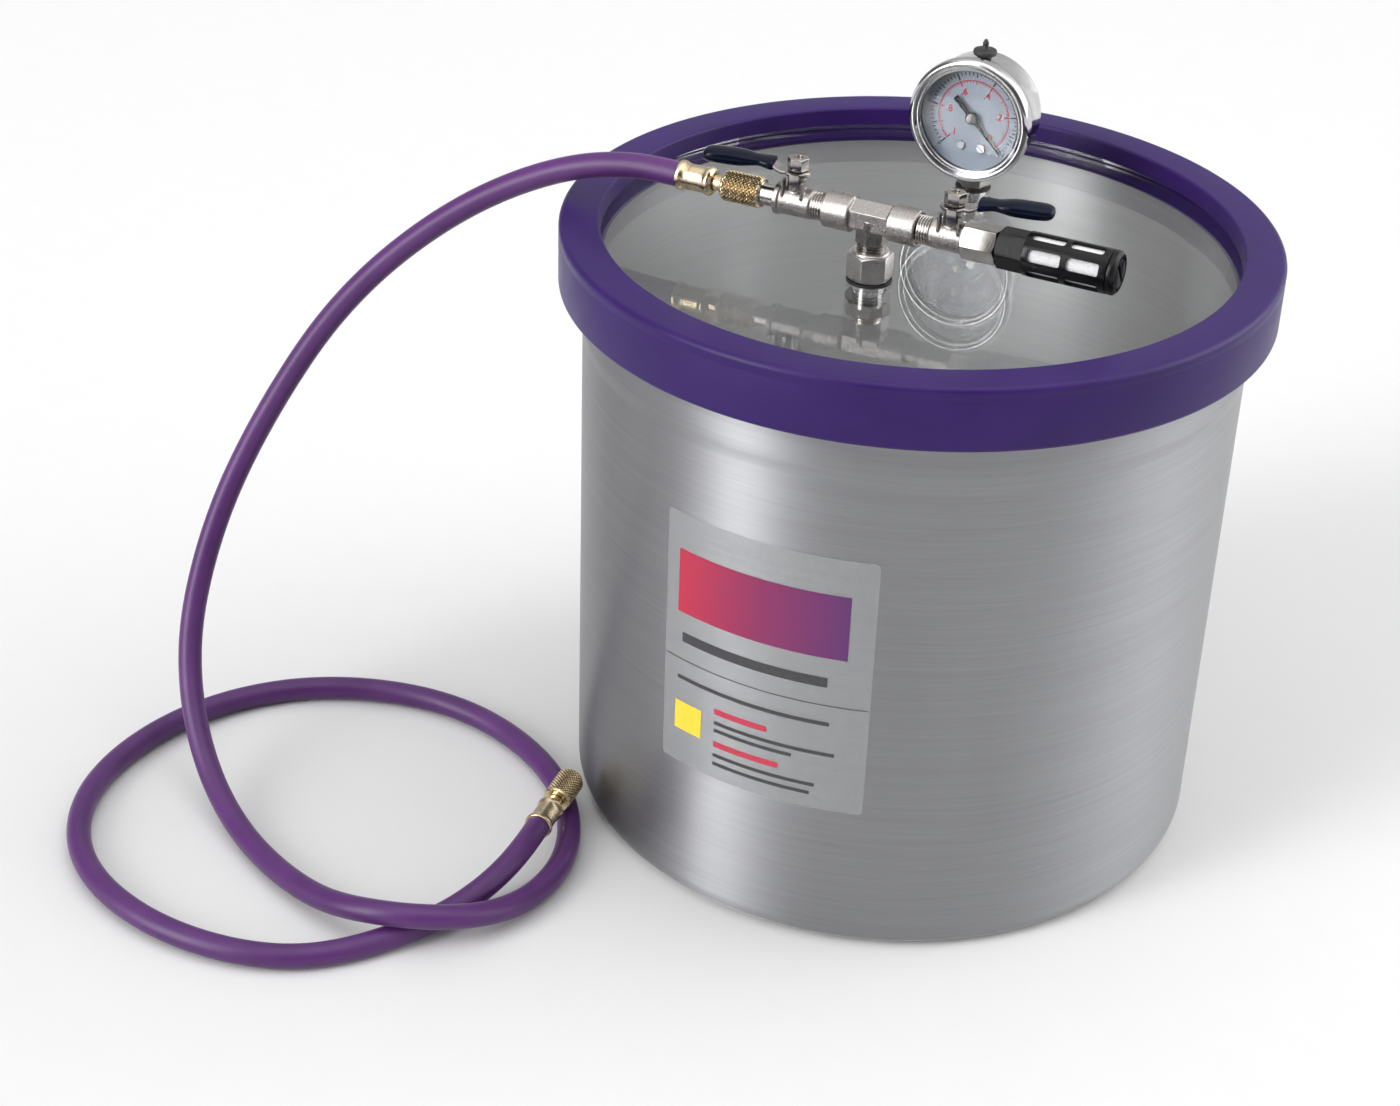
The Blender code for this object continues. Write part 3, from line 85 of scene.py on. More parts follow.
CAMERA_PLACE = (0.38464, -1.00387, 0.75363)
CAMERA_PITCH = 0.535878  # down from level
CAMERA_ROLL = 0.0361521
CAMERA_TURN = math.radians(26)
CAMERA_LENS = 65.72
BACKDROP = 0.08
CEILING = 1.15
CEILING_EDGE = (0.5, 0.9)  # height of the direction where the ceiling starts and is whole
PANELS = [(-123, 8, 13.0), (32, 22, 4.2), (111, 40, 0.45)]  # azimuth and width in degrees, strength
TOP_POWER = 11
FLOOR_HALF = 30.0
FLOOR_TONE = (0.66, 0.66, 0.66)


def add_camera():
    forward = Vector((0, math.cos(CAMERA_PITCH), -math.sin(CAMERA_PITCH)))
    up = Vector((0, math.sin(CAMERA_PITCH), math.cos(CAMERA_PITCH)))
    across = Vector((1, 0, 0))
    right = math.cos(CAMERA_ROLL) * across + math.sin(CAMERA_ROLL) * up
    top = -math.sin(CAMERA_ROLL) * across + math.cos(CAMERA_ROLL) * up
    basis = Matrix((right, top, -forward)).transposed().to_4x4()
    data = bpy.data.cameras.new("camera")
    data.lens = CAMERA_LENS
    data.sensor_width = 36
    data.clip_start = 0.05
    data.clip_end = 50
    camera = bpy.data.objects.new("camera", data)
    bpy.context.scene.collection.objects.link(camera)
    camera.matrix_world = at(*CAMERA_PLACE) @ Matrix.Rotation(CAMERA_TURN, 4, "Z") @ basis
    bpy.context.scene.camera = camera


def add_area(name, place, target, size, power):
    data = bpy.data.lights.new(name, "AREA")
    data.shape = "RECTANGLE"
    data.size, data.size_y = size
    data.energy = power
    light = bpy.data.objects.new(name, data)
    bpy.context.scene.collection.objects.link(light)
    light.location = place
    light.rotation_euler = (Vector(target) - Vector(place)).to_track_quat("-Z", "Y").to_euler()


def math_node(tree, operation, a, b=None):
    """A Math node whose inputs are numbers or the outputs of other nodes."""
    node = tree.nodes.new("ShaderNodeMath")
    node.operation = operation
    for socket, value in zip(node.inputs, (a, b)):
        if isinstance(value, (int, float)):
            socket.default_value = value
        elif value is not None:
            tree.links.new(value, socket)
    return node.outputs[0]


def add_world():
    """A studio round the object: a pale ceiling, a narrow bright panel front left, a wide softer one on the right."""
    world = bpy.data.worlds.new("studio")
    world.use_nodes = True
    tree = world.node_tree
    direction = tree.nodes.new("ShaderNodeTexCoord").outputs["Generated"]
    parts = tree.nodes.new("ShaderNodeSeparateXYZ")
    tree.links.new(direction, parts.inputs[0])
    x, y, z = parts.outputs

    def calc(*terms):
        return math_node(tree, *terms)

    level = calc("MAXIMUM", calc("SQRT", calc("ADD", calc("MULTIPLY", x, x), calc("MULTIPLY", y, y))), 1e-4)
    total = BACKDROP
    for turn, width, strength in PANELS:
        turn, width = math.radians(turn), math.radians(width)
        toward = calc("ADD", calc("MULTIPLY", x, math.cos(turn)), calc("MULTIPLY", y, math.sin(turn)))
        fall = calc("MULTIPLY", calc("SUBTRACT", calc("DIVIDE", toward, level), 1.0), 1 / width**2)
        total = calc("ADD", total, calc("MULTIPLY", calc("EXPONENT", fall), strength))
    overhead = tree.nodes.new("ShaderNodeMapRange")
    overhead.interpolation_type = "SMOOTHSTEP"
    overhead.inputs["From Min"].default_value, overhead.inputs["From Max"].default_value = CEILING_EDGE
    tree.links.new(z, overhead.inputs["Value"])
    share = overhead.outputs["Result"]
    sides = calc("MULTIPLY", total, calc("SUBTRACT", 1.0, share))
    strength = calc("ADD", sides, calc("MULTIPLY", share, CEILING))
    tree.links.new(strength, tree.nodes["Background"].inputs["Strength"])
    tree.nodes["Background"].inputs["Color"].default_value = (1, 1, 1, 1)
    bpy.context.scene.world = world


def add_lights():
    add_world()
    add_area("top", (0.3, -0.2, 2.2), (0, 0, 0.1), (1.8, 1.8), TOP_POWER)
    bpy.context.scene.view_settings.view_transform = "Standard"


def add_floor():
    mesh = bpy.data.meshes.new("floor")
    corners = [(x, y, 0) for x, y in rectangle(-FLOOR_HALF, FLOOR_HALF, -FLOOR_HALF, FLOOR_HALF)]
    mesh.from_pydata(corners, [], [(0, 1, 2, 3)])
    floor = bpy.data.objects.new("floor", mesh)
    bpy.context.scene.collection.objects.link(floor)
    floor.location.z = -0.2 * MM
    mesh.materials.append(plain("floor_white", FLOOR_TONE, 0.9))


# ---------------------------------------------------------------- material helpers


class Nodes:
    """A short way to build a material's node tree."""

    def __init__(self, name):
        self.material = bpy.data.materials.new(name)
        self.material.use_nodes = True
        self.tree = self.material.node_tree
        self.shader = self.tree.nodes["Principled BSDF"]
        self.output = self.tree.nodes["Material Output"]
        self.position = self.tree.nodes.new("ShaderNodeTexCoord").outputs["Object"]

    def set(self, **values):
        for socket, value in values.items():
            self.shader.inputs[socket.replace("_", " ")].default_value = value
        return self

    def link(self, source, target):
        self.tree.links.new(source, target)

    def math(self, operation, a, b=None):
        return math_node(self.tree, operation, a, b)

    def vector(self, x, y, z):
        node = self.tree.nodes.new("ShaderNodeCombineXYZ")
        for socket, value in zip(node.inputs, (x, y, z)):
            self.link(value, socket)
        return node.outputs[0]

    def scaled(self, scale):
        node = self.tree.nodes.new("ShaderNodeMapping")
        node.inputs["Scale"].default_value = scale
        self.link(self.position, node.inputs["Vector"])
        return node.outputs[0]

    def axes(self):
        parts = self.tree.nodes.new("ShaderNodeSeparateXYZ")
        self.link(self.position, parts.inputs[0])
        return parts.outputs

    def radius(self):
        x, y, _ = self.axes()
        return self.math("SQRT", self.math("ADD", self.math("MULTIPLY", x, x), self.math("MULTIPLY", y, y)))

    def mix(self, factor, a, b):
        node = self.tree.nodes.new("ShaderNodeMixRGB")
        self.link(factor, node.inputs["Fac"])
        self.link(a, node.inputs["Color1"])
        self.link(b, node.inputs["Color2"])
        return node.outputs[0]

    def around_z(self, around, along):
        """Coordinates that follow lathe marks: slow round the local Z axis, fast along the turned profile."""
        x, y, z = self.axes()
        radius = self.radius()
        safe = self.math("MAXIMUM", radius, 1e-5)
        cosine = self.math("MULTIPLY", self.math("DIVIDE", x, safe), around)
        sine = self.math("MULTIPLY", self.math("DIVIDE", y, safe), around)
        return self.vector(cosine, sine, self.math("MULTIPLY", self.math("ADD", radius, z), along))

    def noise(self, vector, scale=1.0, detail=3.0, roughness=0.55):
        node = self.tree.nodes.new("ShaderNodeTexNoise")
        node.inputs["Scale"].default_value = scale
        node.inputs["Detail"].default_value = detail
        node.inputs["Roughness"].default_value = roughness
        self.link(vector, node.inputs["Vector"])
        return node.outputs["Fac"]

    def grain(self, scale, detail=3.0, roughness=0.55):
        """Noise that runs the same in every direction."""
        return self.noise(self.scaled((1, 1, 1)), scale, detail, roughness)

    def ramp(self, factor, *stops):
        node = self.tree.nodes.new("ShaderNodeValToRGB")
        while len(node.color_ramp.elements) < len(stops):
            node.color_ramp.elements.new(0.5)
        for element, (position, colour) in zip(node.color_ramp.elements, stops):
            element.position = position
            element.color = (*colour, 1) if len(colour) == 3 else colour
        self.link(factor, node.inputs["Fac"])
        return node.outputs["Color"]

    def remap(self, factor, low, high, source_low=0.3, source_high=0.7):
        node = self.tree.nodes.new("ShaderNodeMapRange")
        for socket, value in zip(("From Min", "From Max", "To Min", "To Max"), (source_low, source_high, low, high)):
            node.inputs[socket].default_value = value
        self.link(factor, node.inputs["Value"])
        return node.outputs["Result"]

    def colour(self, source):
        self.link(source, self.shader.inputs["Base Color"])

    def rough(self, source):
        self.link(source, self.shader.inputs["Roughness"])

    def bump(self, height, distance, strength=1.0):
        """Bumps add up: each new one takes the last one's normal."""
        node = self.tree.nodes.new("ShaderNodeBump")
        node.inputs["Distance"].default_value = distance
        node.inputs["Strength"].default_value = strength
        self.link(height, node.inputs["Height"])
        normal = self.shader.inputs["Normal"]
        if normal.links:
            self.link(normal.links[0].from_socket, node.inputs["Normal"])
        self.link(node.outputs["Normal"], normal)


def plain(name, colour, roughness):
    """Fine even grain, for the floor."""
    n = Nodes(name).set(Roughness=roughness)
    grain = n.noise(n.scaled((40, 40, 40)), detail=2)
    darker = tuple(c * 0.99 for c in colour)
    n.colour(n.ramp(grain, (0.3, darker), (0.7, colour)))
    return n.material


def brushed_aluminium():
    """Spun sheet: fine rings round the pot, a few deeper marks, and highlights drawn across them. The inside of the
    pot is a lighter copy of the same metal, as painted light.
    """
    n = Nodes("brushed_aluminium").set(Metallic=1.0, Anisotropic=0.88, Anisotropic_Rotation=0.25)
    tangent = n.tree.nodes.new("ShaderNodeTangent")
    tangent.direction_type = "RADIAL"
    tangent.axis = "Z"
    n.link(tangent.outputs["Tangent"], n.shader.inputs["Tangent"])
    fine = n.noise(n.around_z(3.0, 2600.0), detail=4, roughness=0.7)
    broad = n.noise(n.around_z(1.2, 420.0), detail=3)
    cloud = n.noise(n.scaled((14, 14, 5)), detail=3)
    marks = n.math("ADD", n.math("MULTIPLY", fine, 0.65), n.math("MULTIPLY", broad, 0.35))
    outside = n.ramp(marks, (0.3, (0.27, 0.272, 0.286)), (0.5, (0.31, 0.312, 0.326)), (0.7, (0.35, 0.352, 0.366)))
    # painted light: the pot's inside gets a lighter copy of the same metal than its outside, for the light that comes
    # in through the glass
    inside = n.ramp(marks, (0.3, (0.54, 0.538, 0.545)), (0.5, (0.60, 0.598, 0.605)), (0.7, (0.66, 0.658, 0.665)))
    n.colour(n.mix(n.math("LESS_THAN", n.radius(), WALL_RADIUS - 2.0 * MM), outside, inside))
    mixed = n.math("ADD", n.math("MULTIPLY", fine, 0.5), n.math("MULTIPLY", cloud, 0.5))
    n.rough(n.remap(mixed, 0.34, 0.48))
    n.bump(fine, 0.012 * MM, 0.5)
    return n.material


def silicone():
    n = Nodes("purple_silicone").set(Specular_IOR_Level=0.22, Sheen_Weight=0.04, Sheen_Roughness=0.4)
    n.shader.inputs["Sheen Tint"].default_value = (0.55, 0.5, 0.7, 1)
    cloud = n.noise(n.scaled((30, 30, 30)), detail=4)
    fine = n.noise(n.scaled((900, 900, 900)), detail=2)
    n.colour(n.ramp(cloud, (0.3, (0.021, 0.0055, 0.080)), (0.7, (0.028, 0.0085, 0.100))))
    n.rough(n.remap(cloud, 0.34, 0.46))
    n.bump(fine, 0.03 * MM, 0.5)
    n.bump(cloud, 0.25 * MM, 0.25)
    return n.material


def clear_glass(name, tint, roughness):
    """Glass that bends what is seen through it but lets lamps light what is behind."""
    n = Nodes(name).set(Roughness=roughness, IOR=1.5, Transmission_Weight=1.0)
    n.shader.inputs["Base Color"].default_value = (*tint, 1)
    smears = n.noise(n.scaled((9, 9, 9)), detail=4)
    n.bump(smears, 0.02 * MM, 0.15)
    path = n.tree.nodes.new("ShaderNodeLightPath")
    clear = n.tree.nodes.new("ShaderNodeBsdfTransparent")
    clear.inputs["Color"].default_value = (*(c * 0.98 for c in tint), 1)
    mix = n.tree.nodes.new("ShaderNodeMixShader")
    either = n.math("MAXIMUM", path.outputs["Is Shadow Ray"], path.outputs["Is Diffuse Ray"])
    n.link(either, mix.inputs["Fac"])
    n.link(n.shader.outputs[0], mix.inputs[1])
    n.link(clear.outputs[0], mix.inputs[2])
    n.link(mix.outputs[0], n.output.inputs["Surface"])
    return n.material


def cast_nickel():
    """Plated sand casting: a pebbled skin with small bright specks."""
    n = Nodes("cast_nickel").set(Metallic=1.0)
    grain = n.grain(1900, detail=3, roughness=0.6)
    lumps = n.grain(700, detail=3)
    n.colour(n.ramp(grain, (0.35, (0.27, 0.25, 0.24)), (0.65, (0.40, 0.375, 0.36))))
    n.rough(n.remap(lumps, 0.24, 0.38))
    n.bump(grain, 0.10 * MM, 0.9)
    n.bump(lumps, 0.10 * MM, 0.7)
    return n.material


def machined(name, dark, light, low, high, around=2.0, along=2500.0):
    """Turned metal with tool marks round its own axis."""
    n = Nodes(name).set(Metallic=1.0)
    marks = n.noise(n.around_z(around, along), detail=3)
    stain = n.grain(260, detail=3)
    n.colour(n.ramp(stain, (0.3, dark), (0.7, light)))
    n.rough(n.remap(marks, low, high))
    n.bump(marks, 0.02 * MM, 0.5)
    return n.material


def knurled_brass():
    """Brass with painted shade in the crossed grooves of the knurl, which follow the same count as its shape."""
    n = Nodes("knurled_brass").set(Metallic=1.0)
    x, y, z = n.axes()
    turn = n.math("MULTIPLY", n.math("ARCTAN2", y, x), KNURLS / math.tau)
    rise = n.math("MULTIPLY", z, KNURLS / (math.tau * SWIVEL_RADIUS))
    grooves = []
    for operation in ("ADD", "SUBTRACT"):
        share = n.math("FRACT", n.math("ADD", n.math(operation, turn, rise), 100.0))
        grooves.append(n.math("MULTIPLY", n.math("ABSOLUTE", n.math("SUBTRACT", share, 0.5)), 2.0))
    groove = n.math("MAXIMUM", *grooves)
    above = n.math("GREATER_THAN", z, KNURL_START)
    below = n.math("LESS_THAN", z, SWIVEL_LENGTH - KNURL_START)
    plain_end = n.math("MULTIPLY", above, below)
    depth = n.math("MULTIPLY", groove, plain_end)
    # painted shade: the brass darkens towards the bottom of each knurl groove and is nearly black at the deepest
    n.colour(n.ramp(depth, (0.45, (0.74, 0.60, 0.38)), (0.80, (0.28, 0.19, 0.08)), (1.0, (0.06, 0.04, 0.02))))
    stain = n.grain(400, detail=3)
    n.rough(n.remap(stain, 0.16, 0.34))
    return n.material


def rubber(name, dark, light, low, high, grain=700.0, gloss=0.5):
    n = Nodes(name).set(Specular_IOR_Level=gloss)
    cloud = n.grain(90, detail=3)
    fine = n.grain(grain, detail=3)
    n.colour(n.ramp(cloud, (0.3, dark), (0.7, light)))
    n.rough(n.remap(cloud, low, high))
    n.bump(fine, 0.05 * MM, 0.5)
    return n.material


def hose_skin():
    """Extruded rubber: satin, with a faint mottle and a little dust."""
    n = Nodes("hose_skin").set(Specular_IOR_Level=0.4, Sheen_Weight=0.12, Sheen_Roughness=0.35)
    cloud = n.grain(34, detail=5)
    fine = n.grain(1400, detail=3)
    n.colour(n.ramp(cloud, (0.3, (0.062, 0.013, 0.100)), (0.72, (0.088, 0.021, 0.135))))
    n.rough(n.remap(fine, 0.36, 0.50))
    n.bump(fine, 0.04 * MM, 0.6)
    return n.material


def filter_felt():
    n = Nodes("filter_felt").set(Roughness=0.9)
    weave = n.grain(1600, detail=4, roughness=0.7)
    n.colour(n.ramp(weave, (0.3, (0.55, 0.55, 0.56)), (0.7, (0.86, 0.86, 0.87))))
    n.bump(weave, 0.2 * MM, 0.9)
    return n.material


def dial_paint():
    n = Nodes("dial_paint").set(Roughness=0.4)
    fine = n.grain(900, detail=2)
    n.colour(n.ramp(fine, (0.3, (0.36, 0.41, 0.50)), (0.7, (0.41, 0.46, 0.55))))
    n.bump(fine, 0.01 * MM, 0.3)
    return n.material


def ink(name, colour, spread=0.12):
    """Print with slightly uneven cover."""
    n = Nodes(name).set(Roughness=0.5)
    cover = n.grain(500, detail=3)
    light = tuple(min(1.0, c * (1 + spread) + 0.01) for c in colour)
    n.colour(n.ramp(cover, (0.3, colour), (0.7, light)))
    return n.material


BAND_SPAN = (-0.042, 0.038)  # from side to side of the label


def label_band():
    """Print that runs from crimson to violet across the label."""
    n = Nodes("label_band").set(Roughness=0.4)
    across = n.remap(n.axes()[0], 0.0, 1.0, *BAND_SPAN)
    cover = n.grain(500, detail=3)
    share = n.math("ADD", across, n.math("MULTIPLY", n.math("SUBTRACT", cover, 0.5), 0.12))
    n.colour(n.ramp(share, (0.0, (0.42, 0.015, 0.045)), (0.5, (0.20, 0.01, 0.08)), (1.0, (0.085, 0.012, 0.11))))
    return n.material


def label_film():
    """Matt clear film: the metal's rings show through, dulled."""
    n = Nodes("label_film").set(Roughness=0.42, Specular_IOR_Level=0.5)
    specks = n.grain(700, detail=4, roughness=0.7)
    n.colour(n.ramp(specks, (0.35, (0.36, 0.37, 0.38)), (0.65, (0.52, 0.53, 0.54))))
    n.shader.inputs["Alpha"].default_value = 0.24
    n.bump(specks, 0.03 * MM, 0.5)
    return n.material


# ---------------------------------------------------------------- shape helpers


def finish_piece(name, bm, material, body, stands_for=(), place=UPRIGHT, sharp=35.0):
    """Make an object of a bmesh in local coordinates, put it in place, and let it ride on a body."""
    bmesh.ops.recalc_face_normals(bm, faces=bm.faces)
    mesh = bpy.data.meshes.new(name)
    bm.to_mesh(mesh)
    bm.free()
    return finish_mesh(name, mesh, material, body, stands_for, place, sharp)


def finish_mesh(name, mesh, material, body, stands_for=(), place=UPRIGHT, sharp=35.0):
    mesh.shade_smooth()
    if sharp:
        mesh.set_sharp_from_angle(angle=math.radians(sharp))
    mesh.materials.clear()
    mesh.materials.append(material)
    obj = bpy.data.objects.new(name, mesh)
    bpy.context.scene.collection.objects.link(obj)
    obj.matrix_world = place
    if stands_for:
        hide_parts(*stands_for)
    if body:
        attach(obj, body)
    return obj


def lathe(outline, steps, closed=None):
    """Spin (radius, height) points about local Z. One that starts on the axis is solid, any other a ring."""
    if closed is None:
        closed = outline[0][0] > 0.0
    bm = bmesh.new()
    verts = [bm.verts.new((r, 0.0, h)) for r, h in outline]
    edges = [bm.edges.new(pair) for pair in zip(verts, verts[1:])]
    if closed:
        edges.append(bm.edges.new((verts[-1], verts[0])))
    bmesh.ops.spin(bm, geom=verts + edges, cent=(0, 0, 0), axis=(0, 0, 1), angle=math.tau, steps=steps,
                   use_merge=True)
    bmesh.ops.remove_doubles(bm, verts=bm.verts, dist=0.002 * MM)
    return bm


def mm(points, up=0.0):
    """(radius, height) points given in millimetres, raised by a height in metres."""
    return [(radius * MM, height * MM + up) for radius, height in points]


def rectangle(x0, x1, y0, y1):
    return [(x0, y0), (x1, y0), (x1, y1), (x0, y1)]


def arc(centre, radius, start, end, steps=6):
    angles = [math.radians(start + (end - start) * i / steps) for i in range(steps + 1)]
    return [(centre[0] + radius * math.cos(a), centre[1] + radius * math.sin(a)) for a in angles]


def rounded(points, radius, steps=3):
    """Round each corner of an open outline with a short curve, its ends left alone."""
    out = [points[0]]
    for before, corner, after in zip(points, points[1:], points[2:]):
        a, b, c = Vector(before), Vector(corner), Vector(after)
        reach = min(radius, (a - b).length * 0.45, (c - b).length * 0.45)
        p, q = b + (a - b).normalized() * reach, b + (c - b).normalized() * reach
        for i in range(steps + 1):
            t = i / steps
            out.append(tuple(p * (1 - t) ** 2 + b * 2 * t * (1 - t) + q * t**2))
    out.append(points[-1])
    return out


def rod(radius, low, high, steps=DETAIL, edge=0.0):
    """A solid disc or bar with chamfered ends."""
    side = [(radius - edge, low), (radius, low + edge), (radius, high - edge), (radius - edge, high)]
    return lathe([(0.0, low), *side, (0.0, high)], steps)


def puck(radius, low, high, edge, steps=DETAIL):
    """A solid disc or bar with softly rounded ends."""
    return lathe(rounded(rectangle(0.0, radius, low, high), edge), steps)


def prism(points, low, high):
    bm = bmesh.new()
    bottom = bm.faces.new([bm.verts.new((x, y, low)) for x, y in points])
    moved = bmesh.ops.extrude_face_region(bm, geom=[bottom])["geom"]
    top = [v for v in moved if isinstance(v, bmesh.types.BMVert)]
    bmesh.ops.translate(bm, verts=top, vec=(0, 0, high - low))
    bmesh.ops.recalc_face_normals(bm, faces=bm.faces)
    return bm


def hexagon(flats, turn=0.0):
    radius = flats / math.sqrt(3)
    angles = [turn + math.radians(60 * i) for i in range(6)]
    return [(radius * math.cos(a), radius * math.sin(a)) for a in angles]


def bridge(bm, a, b):
    """Faces between two closed loops of vertices."""
    for i in range(len(a)):
        j = (i + 1) % len(a)
        bm.faces.new((a[i], a[j], b[j], b[i]))


def hex_nut(flats, low, high, turn=0.0, steps=96):
    """A hexagonal bar whose end corners are turned off at 30 degrees, so each side ends in a curved edge."""
    bm = bmesh.new()
    face = flats / 2 * 0.985
    slope = math.tan(math.radians(30))
    rings = [[], [], [], []]
    for i in range(steps):
        a = math.tau * i / steps
        reach = flats / 2 / math.cos(a % math.radians(60) - math.radians(30))
        drop = (reach - face) * slope
        c, s = math.cos(a + turn), math.sin(a + turn)
        for ring, radius, z in zip(rings, (face, reach, reach, face), (low, low + drop, high - drop, high)):
            ring.append(bm.verts.new((radius * c, radius * s, z)))
    for a, b in zip(rings, rings[1:]):
        bridge(bm, a, b)
    bm.faces.new(rings[0][::-1])
    bm.faces.new(rings[-1])
    return bm


def to_object(bm, place=UPRIGHT):
    bmesh.ops.recalc_face_normals(bm, faces=bm.faces)
    mesh = bpy.data.meshes.new("scratch")
    bm.to_mesh(mesh)
    bm.free()
    obj = bpy.data.objects.new("scratch", mesh)
    bpy.context.scene.collection.objects.link(obj)
    obj.matrix_world = place
    return obj


def join(bm, place=UPRIGHT):
    return "UNION", bm, place


def cut(bm, place=UPRIGHT):
    return "DIFFERENCE", bm, place


def carve(bm, *steps, voxel=None, smooth=0, bevel=None):
    """Join and cut steps on a bmesh, then an optional bevel or remesh. Returns a new bmesh."""
    base = to_object(bm)
    tools = []
    for operation, tool, place in steps:
        other = to_object(tool, place)
        tools.append(other)
        step = base.modifiers.new(operation, "BOOLEAN")
        step.operation = operation
        step.solver = "EXACT"
        step.object = other
    if bevel:
        step = base.modifiers.new("bevel", "BEVEL")
        step.width = bevel
        step.segments = 2
        step.limit_method = "ANGLE"
        step.angle_limit = math.radians(32)
        step.use_clamp_overlap = True
    if voxel:
        step = base.modifiers.new("remesh", "REMESH")
        step.mode = "VOXEL"
        step.voxel_size = voxel
        step = base.modifiers.new("smooth", "SMOOTH")
        step.factor = 0.5
        step.iterations = smooth
    bpy.context.view_layer.update()
    evaluated = base.evaluated_get(bpy.context.evaluated_depsgraph_get())
    mesh = bpy.data.meshes.new_from_object(evaluated)
    result = bmesh.new()
    result.from_mesh(mesh)
    bpy.data.meshes.remove(mesh)
    for obj in [base, *tools]:
        bpy.data.objects.remove(obj, do_unlink=True)
    return result


def union(*parts):
    """Put several bmeshes in one without a Boolean, for pieces that only sit together."""
    result = bmesh.new()
    for part in parts:
        mesh = bpy.data.meshes.new("scratch")
        part.to_mesh(mesh)
        part.free()
        result.from_mesh(mesh)
        bpy.data.meshes.remove(mesh)
    return result


def tube(path, radius, sides):
    """A closed tube along a path, its rings carried along without twist."""
    points = [Vector(p) for p in path]
    bm = bmesh.new()
    last = len(points) - 1
    side = None
    rings = []
    for i, point in enumerate(points):
        ahead = (points[min(i + 1, last)] - points[max(i - 1, 0)]).normalized()
        if side is None:
            side = ahead.orthogonal().normalized()
        side = (side - ahead * side.dot(ahead)).normalized()
        other = ahead.cross(side)
        angles = [math.tau * k / sides for k in range(sides)]
        rings.append([bm.verts.new(point + radius * (math.cos(a) * side + math.sin(a) * other)) for a in angles])
    for a, b in zip(rings, rings[1:]):
        bridge(bm, a, b)
    bm.faces.new(rings[0][::-1])
    bm.faces.new(rings[-1])
    return bm


def loft(rings):
    """A closed skin over rings of points that all have the same count."""
    bm = bmesh.new()
    loops = [[bm.verts.new(p) for p in ring] for ring in rings]
    for a, b in zip(loops, loops[1:]):
        bridge(bm, a, b)
    bm.faces.new(loops[0])
    bm.faces.new(loops[-1])
    return bm


def at(x, y, z):
    return Matrix.Translation((x, y, z))


def about_z(degrees):
    return Matrix.Rotation(math.radians(degrees), 4, "Z")


def to_place(bm, place):
    bmesh.ops.transform(bm, matrix=place, verts=bm.verts)
    return bm


# ---------------------------------------------------------------- hose

HOSE_RADIUS = 5.75 * MM
HOSE_ROUTE = [
    (-114.0, -50.0, 315.2), (-143.0, -51.8, 310.5), (-170.0, -54.5, 300.0), (-196.5, -58.3, 285.0),
    (-225.5, -64.0, 263.0), (-251.0, -71.5, 238.0), (-272.5, -80.7, 210.0), (-289.3, -91.7, 180.0),
    (-302.0, -105.0, 150.0), (-310.0, -121.0, 120.0), (-312.0, -138.5, 91.0), (-307.5, -157.0, 63.5),
    (-295.0, -175.0, 38.5), (-273.0, -194.0, 17.5), (-243.0, -213.5, 7.4), (-210.0, -230.5, 6.6),
    (-174.0, -243.0, 10.0), (-146.0, -247.0, 16.4), (-123.0, -241.0, 17.8), (-104.5, -224.5, 14.0),
    (-94.0, -197.0, 7.7), (-93.0, -165.0, 6.2), (-105.0, -134.0, 6.0), (-128.0, -106.5, 6.0),
    (-163.0, -85.0, 6.0), (-205.0, -75.0, 6.0), (-248.0, -81.0, 6.0), (-288.0, -103.0, 6.0),
    (-316.0, -140.0, 6.0), (-327.0, -186.0, 6.0), (-320.0, -230.0, 6.0), (-293.0, -267.0, 6.0),
    (-250.0, -288.0, 6.0), (-203.0, -291.5, 6.0), (-160.0, -277.0, 6.0), (-133.0, -246.0, 6.2),
    (-116.5, -215.0, 9.2), (-107.5, -186.5, 16.6), (-106.8, -172.0, 19.3),
]  # in millimetres, from the manifold to the free end
FREE_AIM = math.radians(97.0)
FREE_START = Vector((-108.6, -158.0, 19.3)) * MM
HOSE_START = Vector((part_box("hose_ferrule")[0].x - GAP, RUN_Y, RUN_Z))
HOSE_INSIDE = 3.0 * MM  # each end's reach into its ferrule
HOSE_STEPS = 420
HOSE_SIDES = 28


def smooth_route(points, count):
    """Natural cubic spline through points, read at even steps of chord length."""
    p = np.array(points, dtype=float)
    distance = np.concatenate(([0.0], np.cumsum(np.linalg.norm(np.diff(p, axis=0), axis=1))))
    h = np.diff(distance)
    last = len(p) - 1
    matrix = np.eye(len(p))
    right = np.zeros((len(p), 3))
    for i in range(1, last):
        matrix[i, i - 1 : i + 2] = h[i - 1], 2 * (h[i - 1] + h[i]), h[i]
        right[i] = 6 * ((p[i + 1] - p[i]) / h[i] - (p[i] - p[i - 1]) / h[i - 1])
    bend = np.linalg.solve(matrix, right)
    out = []
    for s in np.linspace(0.0, distance[-1], count):
        i = min(int(np.searchsorted(distance, s, side="right")) - 1, last - 1)
        a = (distance[i + 1] - s) / h[i]
        b = (s - distance[i]) / h[i]
        curve = ((a**3 - a) * bend[i] + (b**3 - b) * bend[i + 1]) * h[i] ** 2 / 6
        out.append(a * p[i] + b * p[i + 1] + curve)
    return out


def add_hose():
    """One run of hose, its ends a little way inside the ferrules."""
    points = [tuple(v * MM for v in p) for p in HOSE_ROUTE]
    route = smooth_route([tuple(HOSE_START), *points, tuple(FREE_START)], HOSE_STEPS)
    aim = Vector((math.cos(FREE_AIM), math.sin(FREE_AIM), 0.0))
    first = HOSE_START + Vector((HOSE_INSIDE, 0, 0))
    path = [first, *(Vector(p) for p in route), FREE_START + aim * HOSE_INSIDE]
    skin = tube(path, HOSE_RADIUS, HOSE_SIDES)
    hose = finish_piece("hose", skin, hose_skin(), None, ["hose_tube"], sharp=40)
    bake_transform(hose)
    length = sum((b - a).length for a, b in zip(path, path[1:]))
    return hose, path, length


# ---------------------------------------------------------------- pot and lid


